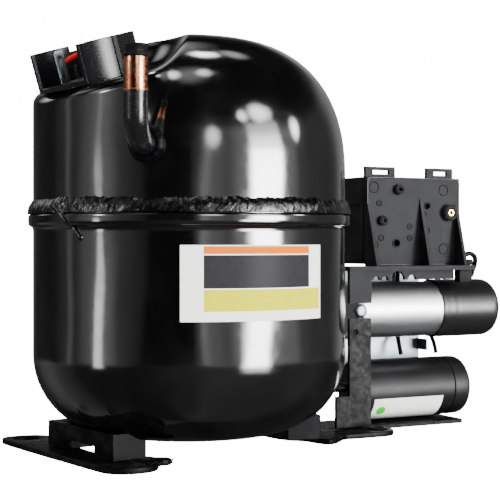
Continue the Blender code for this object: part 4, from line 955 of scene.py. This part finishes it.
for node, material, width, name in (
        ("relay_panel", abs_grey, 0.45, "box_front"),
        ("relay_cover", abs_grey, 0.6, "box_shell"),
        ("left_saddle", dipped, 2.2, "left_saddle_pressing"),
        ("right_saddle", dipped, 2.2, "right_saddle_pressing"),
        ("base_arm", dipped, 0.5, "base_arm_bar"),
        ("upright_bracket", dipped, 0.4, "upright_pressing"),
        ("zinc_plate", zinc, 0.25, "zinc_back_plate")):
    soften_node(node, material, width, name)

# %% [markdown]
# ## Relay box front
# The moulded front has a raised rim, ejector-pin circles, bosses with self-tapping screw holes,
# and small witness marks. Each is its own low ring or bead on the flat panel, and a flat dark disc
# inside each small core-pin ring is painted shade, standing for the inside of a pin hole.

# %% Panel relief
PANEL_FACE = 20.0


def on_panel(x, z):
    """Places a turned shape on the panel: its axis points out of the face, towards -Y."""
    return {"origin": (x, PANEL_FACE, z), "x_axis": (1, 0, 0), "z_axis": (0, -1, 0)}


def add_ring(name, x, z, inner, outer, height):
    """A ring with rounded edges that stands height mm off the panel."""
    profile = soften([(inner, -0.3), (inner, height), (outer, height), (outer, -0.3)], 2, closed=True)
    add_grid(name, settle(revolve(profile, 40), **on_panel(x, z)), abs_grey, wrap_rows=True, angle=50)


for k, (x, z) in enumerate(((145.9, 163.8), (203.0, 162.6), (145.6, 124.6), (203.0, 121.8))):
    add_ring(f"ejector_circle_{k + 1}", x, z, 3.3, 4.0, 0.35)
for k, (x, z, inner, outer, height) in enumerate((
        (165.5, 162.5, 1.4, 3.4, 3.5), (152.5, 141.2, 1.1, 3.2, 3.6), (207, 147, 2.6, 5.6, 4.2),
        (164, 125.8, 2.2, 3.4, 0.6), (189.5, 151.5, 1.7, 2.7, 0.6))):
    add_ring(f"screw_boss_{k + 1}", x, z, inner, outer, height)
for k, (x, z) in enumerate(((150, 153), (186.4, 146), (189.6, 134.5), (174.8, 137.5), (174.8, 129.5),
                            (151.6, 129.4))):
    add_ring(f"core_pin_rim_{k + 1}", x, z, 1.7, 2.3, 0.45)
    # Painted shade: a flat dark rubber disc fills each ring, standing for the shade inside a pin hole.
    dot = [(0.3, 0.12), (1.8, 0.1), (1.8, -0.3), (0.3, -0.3)]
    add_grid(f"pin_hole_painted_shade_{k + 1}", settle(revolve(dot, 24), **on_panel(x, z)), rubber)

rim_turn = np.radians(np.linspace(0, 90, 8))
rim_path = np.concatenate([
    around(2.9, rim_turn + math.radians(start), 0) + (x, z, 0)
    for x, z, start in ((213, 167.5, 0), (143.5, 167.5, 90), (143.5, 114, 180), (213, 114, 270))])
rim_out = unit(rim_path - rim_path.mean(axis=0))
section = soften([(-0.6, -0.3), (-0.6, 0.5), (0.6, 0.5), (0.6, -0.3)], 2, closed=True)
rim_bead = rim_path[:, None] + section[:, :1] * rim_out[:, None] + section[:, 1:] * (0, 0, 1)
add_grid("panel_rim", settle(rim_bead, **on_panel(0, 0)), nylon, wrap_rows=True, ends=(False, False),
         angle=50)

# %% Hexagon insert in the large boss
hexagon = revolve([(1.5, 2.2), (2.5, 2.2), (2.5, 3.9), (1.5, 3.9)], 6)
add_grid("boss_insert", settle(hexagon, **on_panel(207, 147)), brass, wrap_rows=True, angle=20)

# %% Side recess frame and shelf parts
for name, low, high, material in (
        ("side_frame_top", (138.9, 26, 152.0), (140.1, 66, 154.4), abs_grey),
        ("side_frame_low", (138.9, 26, 114.0), (140.1, 66, 116.4), abs_grey),
        ("side_frame_near", (138.9, 24.5, 114.0), (140.1, 27.5, 154.4), abs_grey),
        ("side_frame_far", (138.9, 63, 114.0), (140.1, 66, 154.4), abs_grey),
        ("shelf_clip_block", (208, 8.2, 98.6), (219.0, 14.4, 107.2), rubber),
        ("shelf_end_block", (215.2, 8.4, 110.6), (219.6, 13.4, 114.6), rubber)):
    add_grid(name, settle(rounded_box(low, high, 0.5, 4)), material)

# %% [markdown]
# ## Capacitors
# The run capacitor is a drawn aluminium can with a rolled seam at its near end, slid into a shrunk
# PVC boot. The start capacitor is a black phenolic can with a white printed sheet round it.


# %% Cans
def add_can(name, profile, place, material, node, angle=35, wrap_rows=False):
    """Turns a profile of (radius, distance) about a line along +X from its place."""
    grid = settle(revolve(profile, 96), place, (0, 0, -1), (1, 0, 0))
    add_grid(name, grid, material, (node,), wrap_rows, angle=angle)


RUN = (129.0, 33.0, 80.0)
can = [(0.4, 1.6), (15.8, 1.6), (16.4, 0.5), (17.2, 0.1), (18.4, 0.1), (19.3, 0.7), (19.5, 1.6), (19.4, 2.8),
       (18.9, 3.5), (18.8, 4.3), (19.1, 5.2)]
can = np.vstack([soften(can, 2), respace([(19.1, 6), (19.1, 105.6)], 8), [(18.4, 106.8), (0.4, 107)]])
add_can("run_capacitor_can", can, RUN, aluminium, "run_capacitor")
boot_line = respace([(20.0, 0.4), (20.2, 1.2), (20.2, 39)], 1.2)
boot_line[:, 0] += 0.09 * np.sin(boot_line[:, 1] * 0.9) * (boot_line[:, 1] > 3) * (boot_line[:, 1] < 16)
boot_round = soften([(20.2, 39), (20.2, 44), (19.2, 47.4), (16.4, 48.9), (10, 49), (0.4, 49)], 3)
boot_inner = [(0.4, 47.6), (15.4, 47.0), (19.4, 40), (19.4, 0.4)]
boot = np.vstack([boot_line[:-1], boot_round, boot_inner])
add_can("run_capacitor_boot", boot, (199, 33, 80), pvc, "run_capacitor_sleeve", 40, True)

START = (139.0, 36.0, 25.0)
case = np.vstack([soften([(0.4, 0), (19.6, 0), (20.4, 0.8), (20.5, 2.0)], 1),
                  respace([(20.5, 4), (20.5, 70.6)], 8), [(20.2, 71), (18.9, 71.1), (18.9, 81.8), (0.4, 82)]])
add_can("start_capacitor_case", case, START, phenolic, "start_capacitor")
end_cap = np.vstack([soften([(19.2, 0.3), (20.3, 0.35), (20.5, 1.0), (20.5, 10.6), (19.8, 13.2), (17.2, 14.7),
                             (12, 15), (0.4, 15)], 2), [(0.4, 11.3), (19.2, 11.3)]])
add_can("start_capacitor_end", end_cap, (210, 36, 25), phenolic, "start_capacitor_cap", 40, True)


# %% Wrapped sheets
def add_wrap(name, first, last, low, high, radius, place, x_axis, z_axis, materials, painter, rows, columns):
    """A thin sheet on a cylinder; painter gives each face's material from its row and column share."""
    angles = np.radians(np.linspace(first, last, columns + 1))
    along = np.linspace(low, high, rows + 1)[:, None]
    sheet = around(radius, angles, along)
    piece = add_grid(name, settle(sheet, place, x_axis, z_axis), materials[0], wrap_columns=False, angle=60)
    for material in materials[1:]:
        piece.data.materials.append(material)
    shares = np.meshgrid((np.arange(rows) + 0.5) / rows, (np.arange(columns) + 0.5) / columns, indexing="ij")
    piece.data.polygons.foreach_set("material_index", painter(*shares).ravel().astype(np.int32))
    film = piece.modifiers.new("film", "SOLIDIFY")
    film.thickness = 0.08 * MM
    film.offset = -1


# %% [markdown]
# A plain sticker is wrapped on the lower cup: white film with an orange band, a grey block and a
# yellow band, all of it blank.

# %% Sticker
def sticker_bands(up, across):
    """White margins, then from the top: orange, grey, yellow and white bands."""
    index = np.zeros_like(up)
    index[(up > 0.88) & (up < 0.985) & (across > 0.14) & (across < 0.88)] = 1
    index[(up > 0.44) & (up < 0.875) & (across > 0.14) & (across < 0.88)] = 3
    index[(up > 0.14) & (up < 0.42) & (across > 0.14) & (across < 0.985)] = 2
    return index


add_wrap("plain_sticker", -117.6, -63.2, 83.6, 125.3, 95.12, (0, 0, 0), (1, 0, 0), (0, 0, 1),
         (white_vinyl, orange_vinyl, yellow_vinyl, grey_vinyl), sticker_bands, 60, 120)


# %% Printed sheet on the start capacitor
def green_dot(along, across):
    """White all over but for one round green dot near the left end."""
    return (np.hypot((along - 0.13) * 56, (across - 0.19) * 50) < 3.6).astype(float)


add_wrap("start_capacitor_sheet", -77, 64, 5, 61, 20.62, START, (0, 0, -1), (1, 0, 0),
         (white_vinyl, green_vinyl), green_dot, 120, 120)

# %% [markdown]
# ## Leads, strap and screw
# The leads are rubber-covered wire, held at both ends, so each is one circle carried along a
# smooth line through its clip points.

# %% Leads
def start_lead(x, shift):
    """Clip points of a lead from the shelf at x down to the start capacitor at x - shift."""
    low_x = x - shift
    return [(x, 54.8, 107), (x, 54.9, 74), ((x + low_x) / 2, 53, 62), (low_x, 47, 54), (low_x, 44.6, 47)]


for name, points, size, material, node, side in (
        ("run_lead_wire", [(216, 15, 116.6), (219.5, 15, 118.4), (223, 15.4, 118.6), (228, 17.4, 116.6),
                           (231.6, 21.6, 112.6), (233.6, 26.6, 107.6), (234, 30.2, 102.4)],
         1.7, rubber, "run_lead", (0.2, 0.95, 0.1)),
        ("start_lead_wire_1", start_lead(188, 4), 1.5, rubber, "start_lead_1", (1, 0.05, 0)),
        ("start_lead_wire_2", start_lead(214, 0), 1.5, rubber, "start_lead_2", (1, 0.05, 0)),
        ("strap_bar", [(91, 31, 30), (103, 18, 30), (119, 14.6, 30), (134, 14.6, 30)],
         3.2, dipped, "upright_strap", (0, 0, 1))):
    line = soften(points, 3)
    add_grid(name, settle(sweep(line, size, side, 18)), material, (node,), angle=60)

# %% Leg screw
screw = soften([(0.3, 3.0), (3.2, 3.0), (4.4, 2.2), (4.6, 1.2), (4.6, 0.2), (2.0, 0.0)], 1)
screw = np.vstack([screw, [(2.0, -4.9), (0.3, -5.0)]])
screw = settle(revolve(screw, 32), (127, 8, 81), (1, 0, 0), (0, -1, 0))
add_grid("leg_screw_head", screw, zinc, ("leg_screw",))

# %% [markdown]
# ## The rest of the frame
# Everything inside the shell keeps the frame's own mesh. Each node takes the finish that its
# record slot names, so the inside is as real as the outside if the shell is ever lifted off.

# %% Frame finishes
FINISH_OF_SLOT = {
    "black_enamel": enamel, "weld_metal": burnt, "black_steel": dipped, "copper": bare_copper,
    "rubber": rubber, "black_plastic": nylon, "grey_plastic": abs_grey, "zinc": zinc, "steel": steel,
    "cast_iron": iron, "aluminium": aluminium, "red_plastic": red_pvc, "white_plastic": polyester}
FINISH_OF_NODE = {
    "stator_core": laminations, "rotor": cast, "lower_winding": winding, "upper_winding": winding}
for node, piece in frame["nodes"].items():
    finish = FINISH_OF_NODE.get(node, FINISH_OF_SLOT[SLOT_OF_NODE[node]])
    piece.data.materials.clear()
    piece.data.materials.append(finish)
print("finishes given to", len(SLOT_OF_NODE), "frame nodes")
